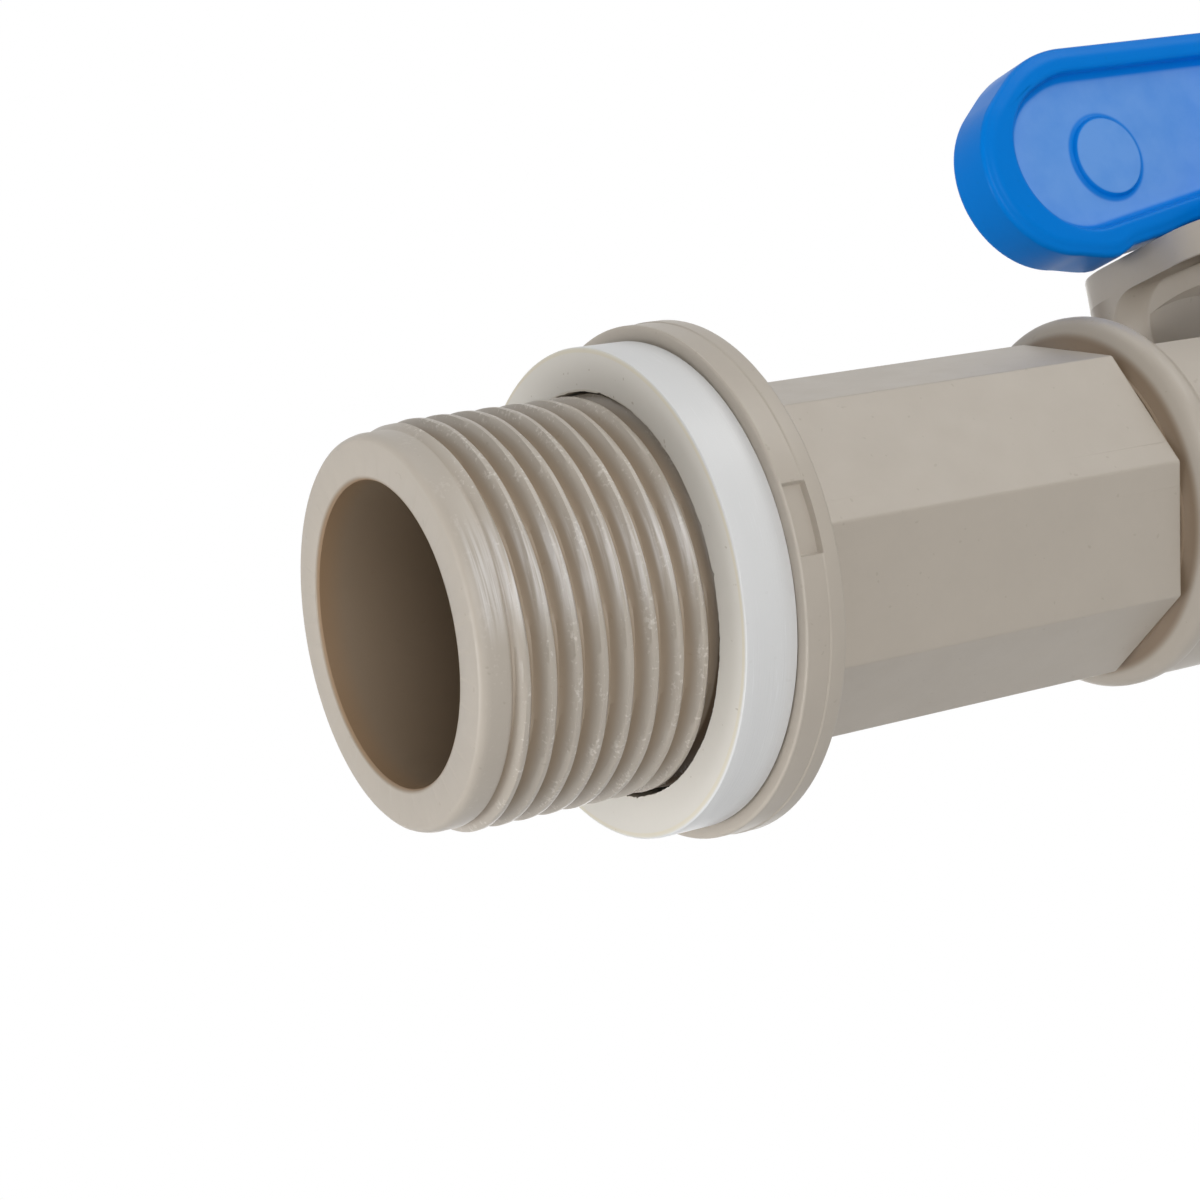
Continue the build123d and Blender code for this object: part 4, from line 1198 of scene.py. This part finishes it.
def dress_packed_nodes(handle_plastic):
    """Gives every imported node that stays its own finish; the rings not named are rubber."""
    fitting = fitting_finish()
    seat = plain_finish("seat_plastic", SEAT_COLOR, 0.42)
    ball = plain_finish("ball_plastic", BALL_COLOR, 0.22)
    stem = plain_finish("stem_plastic", STEM_COLOR, 0.38)
    rubber = plain_finish("seal_rubber", SEAL_COLOR, 0.55, cloud=0.12, fleck=0.0)
    steel = steel_finish()
    finishes = {
        "tube_socket": fitting, "cap_nut": fitting,
        "collet": handle_plastic, "handle_cover": handle_plastic,
        "inlet_seat": seat, "outlet_seat": seat, "stem_washer": seat, "ring_spacer": seat,
        "ball": ball, "stem": stem, "handle_screw": steel, "grab_ring": steel,
    }
    for name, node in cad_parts.items():
        node.data.materials.clear()
        node.data.materials.append(finishes.get(name, rubber))


def rays_of(net, *kinds):
    """1 for rays of the named kinds, and 0 for the rest."""
    rays = net.add("ShaderNodeLightPath").outputs
    return net.most(*(rays[kind] for kind in kinds))


def build_floor():
    """Plain pale floor that keeps the object's shadow and pales to white farther out."""
    half = FLOOR_HALF
    corners = [(-half, -half, 0.0), (half, -half, 0.0), (half, half, 0.0), (-half, half, 0.0)]
    mesh = bpy.data.meshes.new("floor")
    mesh.from_pydata(corners, [], [(0, 1, 2, 3)])
    floor = place(mesh)
    floor.location = (*FLOOR_MIDDLE, FLOOR_Z * MM)
    material = bpy.data.materials.new("pale_floor")
    material.use_nodes = True
    net = Net(material.node_tree)
    shader = material.node_tree.nodes["Principled BSDF"]
    shader.inputs["Base Color"].default_value = (0.8, 0.8, 0.8, 1)
    shader.inputs["Roughness"].default_value = 0.9
    shader.inputs["Emission Color"].default_value = (1, 1, 1, 1)
    seen = rays_of(net, "Is Camera Ray", "Is Glossy Ray")
    position = net.add("ShaderNodeTexCoord").outputs["Object"]
    away = net.add("ShaderNodeVectorMath", {0: position}, operation="LENGTH").outputs["Value"]
    level = net.plus(FLOOR_LEVEL, net.times(net.band(away, *FLOOR_PALING), 1 - FLOOR_LEVEL))
    net.tree.links.new(net.times(seen, level), shader.inputs["Emission Strength"])
    mesh.materials.append(material)


def build_world():
    """Surroundings that are white to the camera and light the object at a plain level."""
    world = bpy.data.worlds.new("studio")
    bpy.context.scene.world = world
    world.use_nodes = True
    net = Net(world.node_tree)
    background = world.node_tree.nodes["Background"]
    background.inputs["Color"].default_value = (1, 1, 1, 1)
    seen = rays_of(net, "Is Camera Ray", "Is Glossy Ray", "Is Transmission Ray")
    strength = net.plus(WORLD_LEVEL, net.times(seen, 1 - WORLD_LEVEL))
    net.tree.links.new(strength, background.inputs["Strength"])


def build_lamps():
    """Soft lamps round the object."""
    for name, direction, distance, size, power, color in LAMPS:
        lamp = bpy.data.lights.new(name, "AREA")
        lamp.shape = "DISK"
        lamp.size = size
        lamp.energy = power
        lamp.color = color
        obj = place(lamp)
        away = Vector(direction).normalized()
        obj.location = LAMPS_MIDDLE + away * distance
        obj.rotation_euler = away.to_track_quat("Z", "Y").to_euler()


def build_camera():
    """Camera at the photograph's place, angle and focal length."""
    data = bpy.data.cameras.new("photo_view")
    data.lens = CAMERA_LENS
    data.sensor_width = CAMERA_SENSOR
    data.clip_start = 0.01
    data.clip_end = 20.0
    camera = place(data)
    forward = CAMERA_FORWARD.normalized()
    right = forward.cross(CAMERA_UP).normalized()
    up = right.cross(forward)
    turn = Matrix((right, up, -forward)).transposed().to_4x4()
    camera.matrix_world = Matrix.Translation(CAMERA_AT * MM) @ turn
    bpy.context.scene.camera = camera


build_body(body_finish())
build_washer(washer_finish())
blue = handle_finish()
build_handle(blue)
dress_packed_nodes(blue)
build_floor()
build_world()
build_lamps()
build_camera()
bpy.context.scene.view_settings.view_transform = "Standard"
